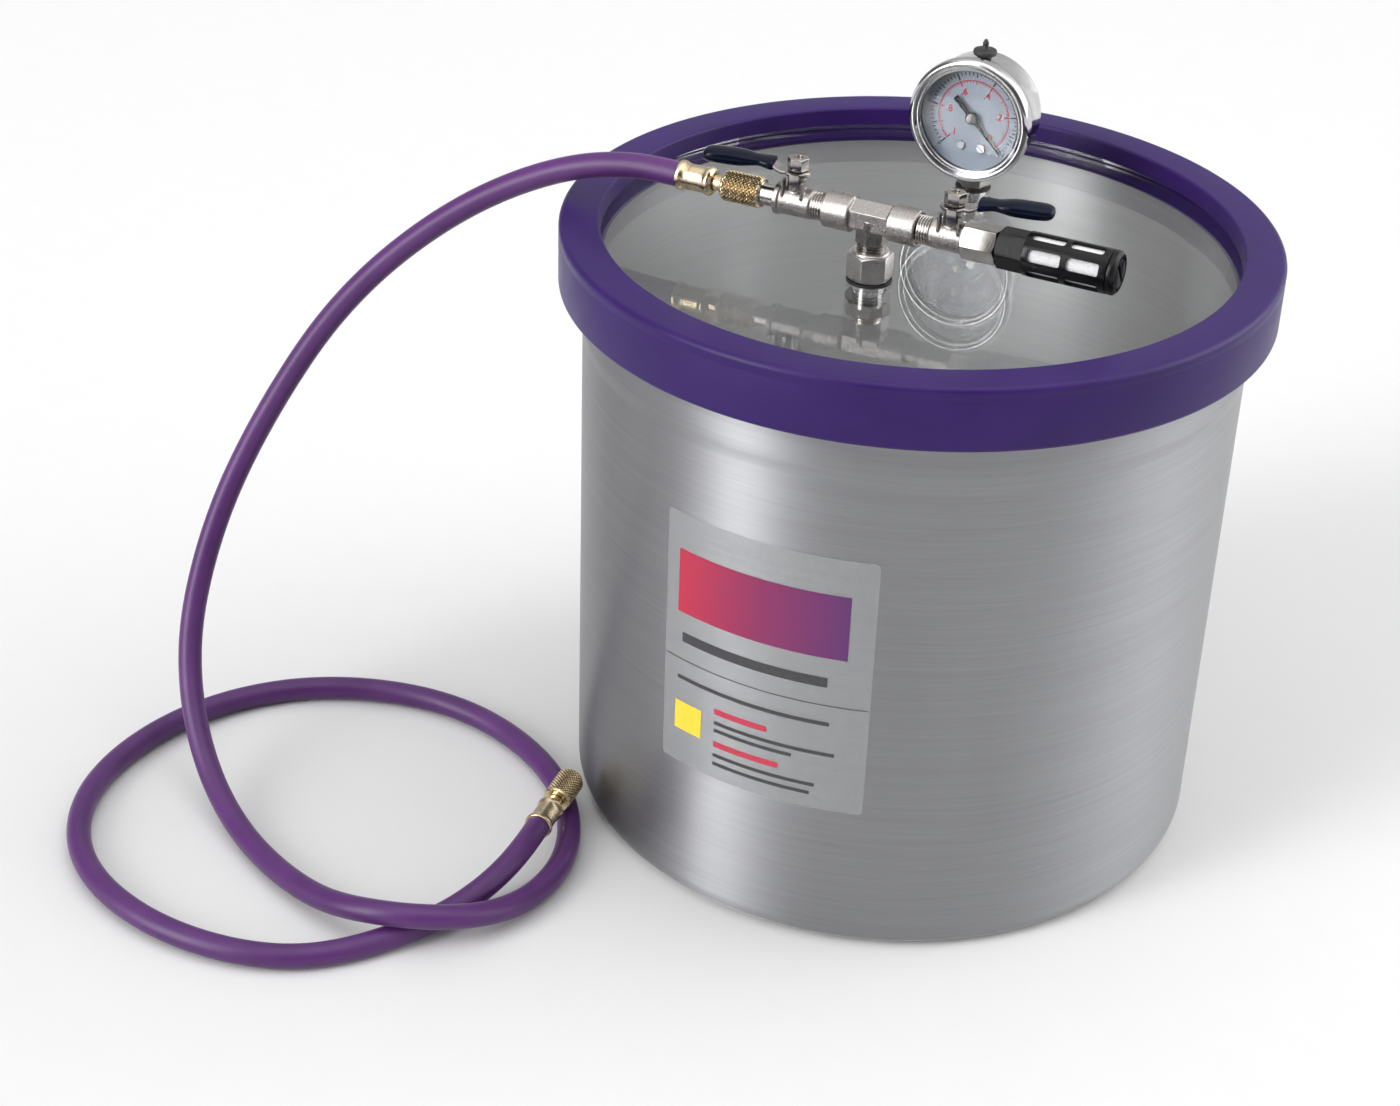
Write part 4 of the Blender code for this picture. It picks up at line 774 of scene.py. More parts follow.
POT_WALL = 3.6 * MM
POT_FLOOR = 4.0 * MM
POT_CORNER = 10.0 * MM
RIM_BAND_HEIGHT = 18.0 * MM
RIM_EDGE = 0.8 * MM
RIM_INNER_EDGE = 0.6 * MM
GASKET_COVER = 8.6 * MM  # width of the lip over the glass
GASKET_SEAT = 10.1 * MM  # width of the lip under the glass
GASKET_FOOT = 2.2 * MM  # round of its lower outside edge
GASKET_SHOULDER = 2.6 * MM  # round of its upper outside edge
GASKET_LIP = 1.6 * MM  # round of the upper lip
GASKET_CHAMFER = 0.5 * MM
MOULD_LINE_DROP = 5.5 * MM
MOULD_LINE_DEPTH = 0.12 * MM
GLASS_EDGE = 1.0 * MM
GLASS_HOLE = 7.0 * MM


def add_pot(metal):
    """Spun pot with a rounded bottom corner and a slightly proud band at the rim."""
    height, band = POT_HIGH.z, POT_HIGH.x
    ledge = height - RIM_BAND_HEIGHT
    inner = WALL_RADIUS - POT_WALL
    inside = POT_CORNER - POT_WALL
    wall = [(WALL_RADIUS, POT_CORNER + 1 * MM), (WALL_RADIUS, ledge - 5 * MM)]
    rim = [(band, ledge), (band, height - 2 * MM)]
    outline = [(0.0, 0.0)]
    outline += arc((WALL_RADIUS - POT_CORNER, POT_CORNER), POT_CORNER, -90, 0, 10)
    outline += rounded(wall + rim, 3 * MM, 5)
    outline += arc((band - RIM_EDGE, height - RIM_EDGE), RIM_EDGE, 0, 90, 3)
    outline += arc((inner + RIM_INNER_EDGE, height - RIM_INNER_EDGE), RIM_INNER_EDGE, 90, 180, 3)
    outline += arc((inner - inside, POT_FLOOR + inside), inside, 0, -90, 8)
    outline.append((0.0, POT_FLOOR))
    finish_piece("pot_body", lathe(outline, ROUND), metal, "pot", ["pot_shell"], sharp=50)


def add_gasket():
    """A channel-section ring: flat top, softly rounded edges, and a faint mould line under its top edge."""
    low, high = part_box("gasket")
    radius, bottom, top = high.x, low.z, high.z
    cover, seat, groove = GLASS_HIGH.x - GASKET_COVER, GLASS_HIGH.x - GASKET_SEAT, GLASS_HIGH.x + GAP / 2
    over, under = GLASS_HIGH.z + GAP / 2, GLASS_LOW.z - GAP / 2
    line = top - MOULD_LINE_DROP
    outline = [(seat, under), (seat, bottom + GASKET_CHAMFER), (seat + GASKET_CHAMFER, bottom)]
    outline += arc((radius - GASKET_FOOT, bottom + GASKET_FOOT), GASKET_FOOT, -90, 0, 8)
    outline += [(radius, line - GASKET_CHAMFER), (radius - MOULD_LINE_DEPTH, line), (radius, line + GASKET_CHAMFER)]
    outline += arc((radius - GASKET_SHOULDER, top - GASKET_SHOULDER), GASKET_SHOULDER, 0, 90, 10)
    outline += arc((cover + GASKET_LIP, top - GASKET_LIP), GASKET_LIP, 90, 180, 6)
    outline += [(cover, over), (groove, over), (groove, under)]
    ring = lathe(outline, ROUND)
    finish_piece("gasket_ring", ring, silicone(), "lid", ["gasket"], sharp=60)


def add_glass():
    """A thick disc with the two holes that the bulkhead and the gauge pass through."""
    low, high = GLASS_LOW.z, GLASS_HIGH.z
    disc = rod(GLASS_HIGH.x, low, high, ROUND, GLASS_EDGE)
    holes = []
    for node in ("bulkhead_nut", "gauge_nut"):
        spot = middle(node)
        holes.append(cut(rod(GLASS_HOLE, low - 2 * MM, high + 2 * MM), at(spot.x, spot.y, 0)))
    glass = clear_glass("lid_glass_clear", (0.965, 0.975, 0.97), 0.0)
    finish_piece("glass_disc", carve(disc, *holes), glass, "lid", ["lid_glass"], sharp=30)


def curved_patch(points, radius, thickness):
    """A closed flat outline of (across, up) points, wrapped on the wall and facing -Y."""
    bm = prism(points, 0.0, thickness)
    left = min(p[0] for p in points)
    wide = max(p[0] for p in points) - left
    cuts = max(2, int(wide / PATCH_CUT))
    for i in range(1, cuts):
        place = (left + wide * i / cuts, 0, 0)
        geom = bm.verts[:] + bm.edges[:] + bm.faces[:]
        bmesh.ops.bisect_plane(bm, geom=geom, plane_co=place, plane_no=(1, 0, 0), dist=1e-7)
    for vert in bm.verts:
        across, up, out = vert.co
        angle = math.radians(-90) + across / radius
        vert.co = ((radius + out) * math.cos(angle), (radius + out) * math.sin(angle), up)
    return bm


def rounded_box(x0, x1, y0, y1, radius, steps=4):
    points = arc((x1 - radius, y0 + radius), radius, -90, 0, steps)
    points += arc((x1 - radius, y1 - radius), radius, 0, 90, steps)
    points += arc((x0 + radius, y1 - radius), radius, 90, 180, steps)
    points += arc((x0 + radius, y0 + radius), radius, 180, 270, steps)
    return points


LABEL_ROWS = [
    ("band", "band", -0.86, 0.78, 80, 112),
    ("name_bar", "black", -0.80, 0.62, 65, 70),
    ("rule", "black", -0.98, 0.98, 55.4, 55.8),
    ("line_1", "black", -0.84, 0.66, 45, 47),
    ("line_2", "crimson", -0.42, 0.10, 34.5, 37.5),
    ("line_3", "black", -0.42, 0.72, 29, 30.8),
    ("line_4", "black", -0.42, 0.34, 25, 26.8),
    ("line_5", "crimson", -0.42, 0.22, 17, 20),
    ("line_6", "black", -0.42, 0.56, 11.6, 13.4),
    ("line_7", "black", -0.42, 0.52, 7, 8.8),
    ("square", "amber", -0.86, -0.56, 18, 33),
]  # name, paint, left and right as shares of half the width, bottom and top in millimetres
FILM_LIFT = 0.06 * MM
PRINT_LIFT = 0.18 * MM
PATCH_CUT = 4 * MM  # longest flat step round the wall


def add_label():
    """A clear film with a plain block mark, a rule and blank bars where lines of print would be."""
    low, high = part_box("pot_label")
    half = WALL_RADIUS * math.asin(high.x / (WALL_RADIUS + 0.7 * MM))
    film = curved_patch(rounded_box(-half, half, low.z, high.z, 2 * MM), WALL_RADIUS + FILM_LIFT, 0.1 * MM)
    finish_piece("label_film", film, label_film(), "pot", ["pot_label"], sharp=30)
    paints = {
        "crimson": ink("label_crimson", (0.42, 0.02, 0.05)),
        "black": ink("label_black", (0.03, 0.03, 0.035)),
        "amber": ink("label_amber", (0.75, 0.52, 0.03)),
        "band": label_band(),
    }
    for name, paint, left, right, bottom, top in LABEL_ROWS:
        box = rounded_box(left * half, right * half, low.z + bottom * MM, low.z + top * MM, 0.3 * MM, 2)
        patch = curved_patch(box, WALL_RADIUS + PRINT_LIFT, 0.05 * MM)
        finish_piece(f"label_{name}", patch, paints[paint], "pot", sharp=30)


# ---------------------------------------------------------------- manifold

THREAD_RADIUS = 6.4 * MM
SWIVEL_RADIUS = 7.1 * MM
SWIVEL_LENGTH = 19.0 * MM
SWIVEL_BORE = 5.8 * MM
SWIVEL_NECK = 3.8 * MM
SWIVEL_BACK = 2.6 * MM  # wall that turns on the barb
SWIVEL_PLACE = 22.5 * MM  # from the hose's end face
KNURLS = 24
KNURL_DEPTH = 0.5 * MM
KNURL_EDGE = 1.3 * MM
KNURL_START = 1.2 * MM
THREAD_DEPTH = 0.8 * MM
THREAD_PITCH = 1.2 * MM
SOFT_EDGE = 0.12 * MM  # bevel of the machined fittings
SHANK_RADIUS = 6.6 * MM
BULKHEAD_FLATS = 18.2 * MM
BULKHEAD_COLLAR = 8.2 * MM
TEE_HALF = 22.0 * MM
TEE_BLOCK = 10.0 * MM
TEE_FLATS = 13.0 * MM
TEE_SOCKET = 8.3 * MM
TEE_STUB = 4.6 * MM  # gap from the bulkhead to the tee's stub
VALVE_RADIUS = 6.8 * MM
VALVE_INNER = 9.2 * MM  # stem to the start of the thread
VALVE_BARREL = 6.4 * MM  # stem to the end of the round body
VALVE_OUTER = 9.0 * MM
VALVE_FLANGE = 7.5 * MM
VALVE_THREAD_END = 19.8 * MM
VENT_LENGTH = 15.4 * MM
VENT_FLATS = 15.0 * MM
VENT_MOUTH = 5.4 * MM
BOSS_RADIUS = 4.4 * MM
BOSS_TOP = 11.4 * MM
GLAND_TOP = 12.6 * MM
STEM_HOLE = 2.5 * MM
LUGS = (-5.2 * MM, 4.0 * MM)  # where the two lugs beside the boss start
LEVER_TURN = math.radians(10.7)
LEVER_THICKNESS = 1.6 * MM
LEVER_WIDTH = 8.0 * MM
LEVER_RISE = 3.0 * MM
LEVER_DISC = 6.2 * MM
LEVER_HOLE = 2.3 * MM
LEVER_NUT_FLATS = 8.4 * MM
LEVER_SPINE = [(0.0, 0.0), (7.0, 0.0), (9.0, 0.8), (11.0, 2.2), (12.6, 3.0), (34.0, 3.0)]  # millimetres
EAR_HALF = 2.0 * MM
EAR_REACH = 7.2 * MM
EAR_THICKNESS = 1.6 * MM
GRIP_WIDTH = 10.8 * MM
GRIP_HEIGHT = 8.0 * MM
GRIP_SECTIONS = [
    (10.4, 0.80, -0.6, 0.50), (10.8, 1.00, -0.5, 0.62), (12.0, 1.02, -0.4, 0.64), (14.0, 0.96, -0.2, 0.58),
    (16.5, 0.82, 0.0, 0.54), (19.0, 0.82, 0.0, 0.56), (22.0, 0.94, 0.0, 0.68), (25.5, 1.02, 0.0, 0.80),
    (30.0, 1.04, 0.0, 0.84), (36.0, 1.04, 0.0, 0.82), (39.5, 0.98, 0.0, 0.76), (41.4, 0.84, 0.0, 0.62),
    (42.4, 0.62, 0.0, 0.44), (42.8, 0.34, 0.0, 0.24),
]  # along in millimetres, share of the width, centre above the lever in millimetres, share of the height
FERRULE_LENGTH = 17.2 * MM
ADAPTER_THREAD = 11.8 * MM
ADAPTER_TIP = 1.6 * MM


def thread_outline(radius, low, high, pitch=THREAD_PITCH, depth=THREAD_DEPTH):
    """Rings that stand for a screw thread, from low to high."""
    count = max(1, int(round((high - low) / pitch)))
    step = (high - low) / count
    points = []
    for i in range(count):
        start = low + i * step
        points += [(radius - depth, start), (radius, start + 0.42 * step), (radius, start + 0.58 * step)]
    points.append((radius - depth, high))
    return points


def threaded_rod(radius, low, high):
    return lathe([(0.0, low), *thread_outline(radius, low, high), (0.0, high)], DETAIL)


def add_bulkhead(metal):
    low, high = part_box("bulkhead_fitting")
    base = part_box("bulkhead_upper_washer")[1].z + GAP
    body = hex_nut(BULKHEAD_FLATS, base, high.z, math.radians(32))
    collar = rod(BULKHEAD_COLLAR, high.z - 0.4 * MM, high.z + 0.9 * MM, edge=0.3 * MM)
    shank = threaded_rod(SHANK_RADIUS, low.z, base + 2 * MM)
    body = carve(body, join(collar), join(shank), bevel=SOFT_EDGE)
    finish_piece("bulkhead_body", body, metal, "lid", ["bulkhead_fitting"], at(TEE_X, RUN_Y, 0))


def add_tee(cast, bright):
    """A hexagonal block with two threaded sockets along the run and a stub that screws into the bulkhead."""
    centre = at(TEE_X, RUN_Y, RUN_Z)
    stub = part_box("bulkhead_fitting")[1].z + TEE_STUB - RUN_Z
    block = prism(hexagon(TEE_FLATS), -TEE_BLOCK - 2 * MM, TEE_BLOCK + 2 * MM)
    sides = (ALONG_X, ALONG_MINUS_X)
    steps = [join(puck(TEE_SOCKET, TEE_BLOCK - 1 * MM, TEE_HALF, 0.8 * MM), side) for side in sides]
    steps.append(join(prism(hexagon(TEE_FLATS - 0.4 * MM, math.radians(30)), stub, 0.0)))
    steps += [cut(rod(THREAD_RADIUS + 0.4 * MM, TEE_HALF - 7 * MM, TEE_HALF + 5 * MM), side) for side in sides]
    body = carve(to_place(block, ALONG_X), *steps, voxel=0.24 * MM, smooth=4)
    finish_piece("tee_body", body, cast, "lid", ["manifold_tee"], centre, sharp=0)
    thread = threaded_rod(THREAD_RADIUS, stub - TEE_STUB - 3 * MM, stub + 1 * MM)
    finish_piece("tee_thread", thread, bright, "lid", (), centre)


def stem_hole():
    return rod(STEM_HOLE, 8.0 * MM, 14.0 * MM, 32)


def add_valve_body(prefix, stem_x, out, cast, bright, hexagonal):
    """Cast body with its stem boss and threaded inner end. The vent valve has a hexagonal outer end."""
    centre = at(stem_x, RUN_Y, RUN_Z)
    upright = out.inverted()  # from the piece's own axis along the run back to the world's Z
    outline = [(0.0, -VALVE_INNER), (6.0 * MM, -VALVE_INNER), (VALVE_RADIUS, -VALVE_INNER + 0.8 * MM)]
    outline.append((VALVE_RADIUS, VALVE_BARREL))
    if hexagonal:
        outline.append((0.0, VALVE_BARREL))
    else:
        outline += [(VALVE_FLANGE, VALVE_BARREL), (VALVE_FLANGE, VALVE_OUTER), (0.0, VALVE_OUTER)]
    steps = [join(rod(BOSS_RADIUS, 0.0, BOSS_TOP), upright)]
    for x in LUGS:
        lug = prism(rounded_box(x, x + 1.2 * MM, -6.2 * MM, -3.0 * MM, 0.3 * MM), 3.0 * MM, 11.0 * MM)
        steps.append(join(lug, upright))
    steps.append(cut(stem_hole(), upright))
    body = carve(lathe(rounded(outline, 0.6 * MM), DETAIL), *steps, voxel=0.2 * MM, smooth=3)
    finish_piece(f"{prefix}_body", body, cast, "lid", [f"{prefix}_valve_body"], centre @ out, sharp=0)
    if hexagonal:
        end = VALVE_BARREL + VENT_LENGTH
        bar = hex_nut(VENT_FLATS, VALVE_BARREL - 0.3 * MM, end, math.radians(30))
        bar = carve(bar, cut(rod(VENT_MOUTH, end - 4 * MM, end + 2 * MM)), bevel=SOFT_EDGE)
        finish_piece(f"{prefix}_hexagon", bar, bright, "lid", (), centre @ out)
    gland = carve(rod(BOSS_RADIUS - 0.1 * MM, BOSS_TOP, GLAND_TOP, edge=0.2 * MM), cut(stem_hole()))
    finish_piece(f"{prefix}_gland", gland, bright, "lid", (), centre)
    thread = threaded_rod(THREAD_RADIUS, -VALVE_THREAD_END, -VALVE_INNER + 0.5 * MM)
    finish_piece(f"{prefix}_thread", thread, bright, "lid", (), centre @ out)


def lever_rings(sections, wide, thick, count=24, power=0.55):
    """Rounded rings along local X, each from (x, share of the width, centre height, share of the thickness)."""
    rings = []
    for x, w, z, t in sections:
        ring = []
        for i in range(count):
            c, s = math.cos(math.tau * i / count), math.sin(math.tau * i / count)
            across = wide / 2 * w * math.copysign(abs(c) ** power, c)
            ring.append((x, across, z + thick / 2 * t * math.copysign(abs(s) ** power, s)))
        rings.append(ring)
    return rings


def eased(rows, steps):
    """Rows of numbers with extra rows between them on a smooth (Catmull-Rom) curve."""
    table = np.array([rows[0], *rows, rows[-1]], dtype=float)
    out = []
    for a, b, c, d in zip(table, table[1:], table[2:], table[3:]):
        for t in np.arange(steps) / steps:
            curve = (2 * a - 5 * b + 4 * c - d) * t**2 + (3 * b - a - 3 * c + d) * t**3
            out.append(0.5 * (2 * b + (c - a) * t + curve))
    return [*out, table[-1]]


def add_lever(prefix, stem_x, outward, bright, vinyl):
    """Pressed lever with a stop ear, a swept vinyl grip and the nut that holds them on the stem."""
    turn = LEVER_TURN + (0 if outward > 0 else math.pi)
    place = at(stem_x, RUN_Y, 0) @ Matrix.Rotation(turn, 4, "Z")
    body = f"{prefix}_handle"
    nut_low, nut_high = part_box(f"{prefix}_lever_nut")
    base = nut_low.z - GAP - LEVER_THICKNESS
    top = base + LEVER_THICKNESS
    centre = base + LEVER_THICKNESS / 2
    spine = [(x * MM, 1.0, centre + up * MM, 1) for x, up in LEVER_SPINE]
    arm = loft(lever_rings(spine, LEVER_WIDTH, LEVER_THICKNESS, power=0.25))
    back, front = sorted((-EAR_REACH * outward, (EAR_THICKNESS - EAR_REACH) * outward))
    ear = prism(rectangle(-EAR_HALF, EAR_HALF, back, front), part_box(f"{prefix}_lever")[0].z, top)
    hole = rod(LEVER_HOLE, base - 2 * MM, base + 4 * MM, 32)
    plate = carve(puck(LEVER_DISC, base, top, 0.3 * MM), join(arm), join(ear), cut(hole), bevel=0.15 * MM)
    finish_piece(f"{prefix}_lever_plate", plate, bright, body, [f"{prefix}_lever"], place)
    middle_z = centre + LEVER_RISE
    sections = [(x * MM, width, middle_z + up * MM, height) for x, width, up, height in GRIP_SECTIONS]
    grip = loft(lever_rings(eased(sections, 6), GRIP_WIDTH, GRIP_HEIGHT, 48, 0.8))
    finish_piece(f"{prefix}_grip", grip, vinyl, body, [f"{prefix}_lever_sleeve"], place, sharp=0)
    dimple = rod(1.9 * MM, nut_high.z - 1.0 * MM, nut_high.z + 2 * MM, 32)
    nut = carve(hex_nut(LEVER_NUT_FLATS, nut_low.z, nut_high.z), cut(dimple), bevel=0.1 * MM)
    finish_piece(f"{prefix}_nut", nut, bright, body, [f"{prefix}_lever_nut"], place)


def knurled_skin():
    """Diamond knurl between two turned chamfers, about local Z, and its loops of vertices."""
    pitch = math.tau * SWIVEL_RADIUS / KNURLS
    rows = int(SWIVEL_LENGTH / (0.16 * MM))
    columns = KNURLS * 10
    bm = bmesh.new()
    loops = []
    for i in range(rows + 1):
        z = SWIVEL_LENGTH * i / rows
        inset = max(0.0, KNURL_EDGE - z, z - (SWIVEL_LENGTH - KNURL_EDGE)) * 0.7
        fade = min(1.0, max(0.0, min(z, SWIVEL_LENGTH - z) - 0.5 * KNURL_EDGE) / (0.8 * MM))
        loop = []
        for k in range(columns):
            a = math.tau * k / columns
            u = KNURLS * a / math.tau
            grooves = [abs(((u + v) % 1.0) - 0.5) * 2 for v in (z / pitch, -z / pitch)]
            r = SWIVEL_RADIUS - inset - KNURL_DEPTH * fade * max(grooves)
            loop.append(bm.verts.new((r * math.cos(a), r * math.sin(a), z)))
        loops.append(loop)
    for a, b in zip(loops, loops[1:]):
        bridge(bm, a, b)
    return bm, loops


def ring_end(bm, loop, inner, z):
    """Close a knurled end down to a bore of radius inner, and return the bore's loop."""
    angles = [math.tau * k / len(loop) for k in range(len(loop))]
    rim = [bm.verts.new((inner * math.cos(a), inner * math.sin(a), z)) for a in angles]
    bridge(bm, loop, rim)
    return rim


def add_swivel(name, place, body, brass, stands_for):
    """Knurled nut, open at its threaded mouth, with a wall behind that turns on the barb."""
    bm, loops = knurled_skin()
    back = ring_end(bm, loops[0], SWIVEL_NECK, 0.0)
    mouth = ring_end(bm, loops[-1], SWIVEL_BORE, SWIVEL_LENGTH)
    wider = SWIVEL_BORE / SWIVEL_NECK
    inner = [bm.verts.new((v.co.x * wider, v.co.y * wider, SWIVEL_BACK)) for v in back]
    lip = [bm.verts.new((v.co.x, v.co.y, SWIVEL_BACK)) for v in back]
    for a, b in ((back, lip), (lip, inner), (inner, mouth)):
        bridge(bm, a, b)
    finish_piece(name, bm, brass, body, stands_for, place, sharp=25)


def add_coupling(prefix, name, place, body, nut_body, brass, knurl):
    """Crimped ferrule over the hose and the knurled nut that turns ahead of it."""
    end = GAP + FERRULE_LENGTH
    outline = mm([(5.85, -0.2), (6.55, -0.2), (6.8, 0.5), (6.75, 2.0), (6.0, 3.2), (5.85, 5.0)], GAP)
    outline += mm([(5.85, -5.4), (6.0, -4.0), (6.5, -2.8), (6.6, -1.6), (6.1, -0.9), (5.4, -0.4)], end)
    outline += mm([(5.0, 0.0), (3.8, 0.0)], end)
    outline += mm([(3.8, 6.0), (5.85, 6.0)], GAP)
    crimp = lathe(rounded(outline, 0.5 * MM), DETAIL)
    finish_piece(f"{name}_crimp", crimp, brass, body, [f"{prefix}_ferrule"], place, sharp=40)
    add_swivel(f"{name}_knurled_nut", place @ at(0, 0, SWIVEL_PLACE), nut_body, knurl, [f"{prefix}_swivel_nut"])


def add_adapter(bright):
    """Flare adapter: a plain shoulder, then a thread that runs into the knurled nut."""
    low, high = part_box("flare_adapter")
    reach = high.x - low.x
    start = reach - ADAPTER_THREAD
    outline = mm([(0.0, 0.0), (5.2, 0.0), (5.0, 0.1)]) + [(5.0 * MM, start)]
    outline += thread_outline(5.5 * MM, start, reach - ADAPTER_TIP, 1.0 * MM, 0.4 * MM)
    outline += mm([(3.9, 0.0), (3.0, 0.0), (3.0, -3.0), (0.0, -3.0)], reach)
    place = at(high.x, RUN_Y, RUN_Z) @ ALONG_MINUS_X
    finish_piece("adapter", lathe(outline, DETAIL), bright, "lid", ["flare_adapter"], place)


# ---------------------------------------------------------------- filter


FILTER_RADIUS = 9.7 * MM
FILTER_WALL = 1.6 * MM
FILTER_COLLAR = 13.6 * MM
FILTER_FLATS = 16.0 * MM
FILTER_CAGE = 36.0 * MM
FILTER_CAP = 3.6 * MM
WINDOWS = 6
WINDOW_LENGTH = 14.6 * MM
WINDOW_HALF = 2.7 * MM
WINDOW_START = 1.4 * MM
WINDOW_RIB = 2.4 * MM
ELEMENT_BORE = 3.5 * MM
SLOT_HALF = 6.2 * MM


def add_filter(plastic, felt):
    """Silencer: hexagonal collar, a cage with two rows of windows, a felt sleeve and a slotted end cap."""
    end = FILTER_COLLAR + FILTER_CAGE
    inside = FILTER_RADIUS - FILTER_WALL
    place = at(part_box("filter_housing")[1].x - FILTER_CAGE - FILTER_COLLAR, RUN_Y, RUN_Z) @ ALONG_X
    steps = [join(hex_nut(FILTER_FLATS, 0.0, FILTER_COLLAR, math.radians(30)))]
    steps.append(cut(rod(inside, FILTER_COLLAR, end + 5 * MM)))
    for row in range(2):
        bottom = FILTER_COLLAR + WINDOW_START + row * (WINDOW_LENGTH + WINDOW_RIB)
        shape = rounded_box(-WINDOW_HALF, WINDOW_HALF, bottom, bottom + WINDOW_LENGTH, 1.2 * MM, 3)
        for i in range(WINDOWS):
            turn = about_z(11 + 360 / WINDOWS * i) @ about_z(90)
            stand = turn @ Matrix.Rotation(math.radians(90), 4, "X") @ Matrix.Diagonal((1, 1, -1, 1))
            steps.append(cut(prism(shape, inside - 3 * MM, FILTER_RADIUS + 3 * MM), stand))
    cage = carve(puck(FILTER_RADIUS, FILTER_COLLAR - 1 * MM, end, 0.4 * MM), *steps, bevel=0.16 * MM)
    finish_piece("filter_cage", cage, plastic, "lid", ["filter_housing"], place, sharp=40)
    element = lathe(rectangle(ELEMENT_BORE, inside - 0.2 * MM, FILTER_COLLAR, end - FILTER_CAP), DETAIL)
    finish_piece("filter_sleeve", element, felt, "lid", ["filter_element"], place)
    start = end + GAP
    face = start + FILTER_CAP
    plug = inside - 0.4 * MM
    outline = [(0.0, start - 2 * MM), (plug, start - 2 * MM), (plug, start), (FILTER_RADIUS, start)]
    outline += [(FILTER_RADIUS, start + 2.2 * MM), (FILTER_RADIUS - 1.4 * MM, face), (0.0, face)]
    groove = lathe(rectangle(6.4 * MM, 7.2 * MM, face - 1.2 * MM, face + 2 * MM), DETAIL)
    slot = rounded_box(-SLOT_HALF, SLOT_HALF, -0.9 * MM, 0.9 * MM, 0.4 * MM)
    slot = prism(slot, face - 1.8 * MM, face + 5 * MM)
    cap = lathe(rounded(outline, 0.4 * MM), DETAIL)
    cap = carve(cap, cut(groove), cut(slot, about_z(35)), bevel=0.15 * MM)
    finish_piece("filter_end", cap, plastic, "lid", ["filter_cap"], place, sharp=40)


# ---------------------------------------------------------------- gauge


BEZEL_RADIUS = 29.75 * MM
BEZEL_OPENING = 23.9 * MM
BEZEL_DEPTH = 7.0 * MM
SKIRT = BEZEL_RADIUS - 1.5 * MM  # inside of the bezel's wall
CASE_RADIUS = 27.2 * MM
CASE_BACK = 26.5 * MM
CASE_WALL = 1.2 * MM
CASE_ROUND = 2.5 * MM
LENS_EDGE = SKIRT - GAP
LENS_FRONT, LENS_BACK = 2.5 * MM, 4.3 * MM
DIAL_RADIUS = 25.7 * MM
DIAL_FRONT, DIAL_BACK = 9.0 * MM, 9.8 * MM
GAUGE_STEPS = 128
SOCKET_FLATS = 14.2 * MM
SOCKET_HEIGHT = 7.0 * MM
SOCKET_NECK = 4.8 * MM
OUTER_SCALE = 21.0 * MM
INNER_SCALE = 17.0 * MM
OUTER_NUMBERS = ("30", "24", "18", "12", "6", "0")
INNER_NUMBERS = ("1", ".8", ".6", ".4", ".2", "0")
SCALE_START, SCALE_SWEEP = 225, 270  # in degrees, clockwise from +X as seen from the front
SCALE_STEPS = 50
ARC_STEPS = 90


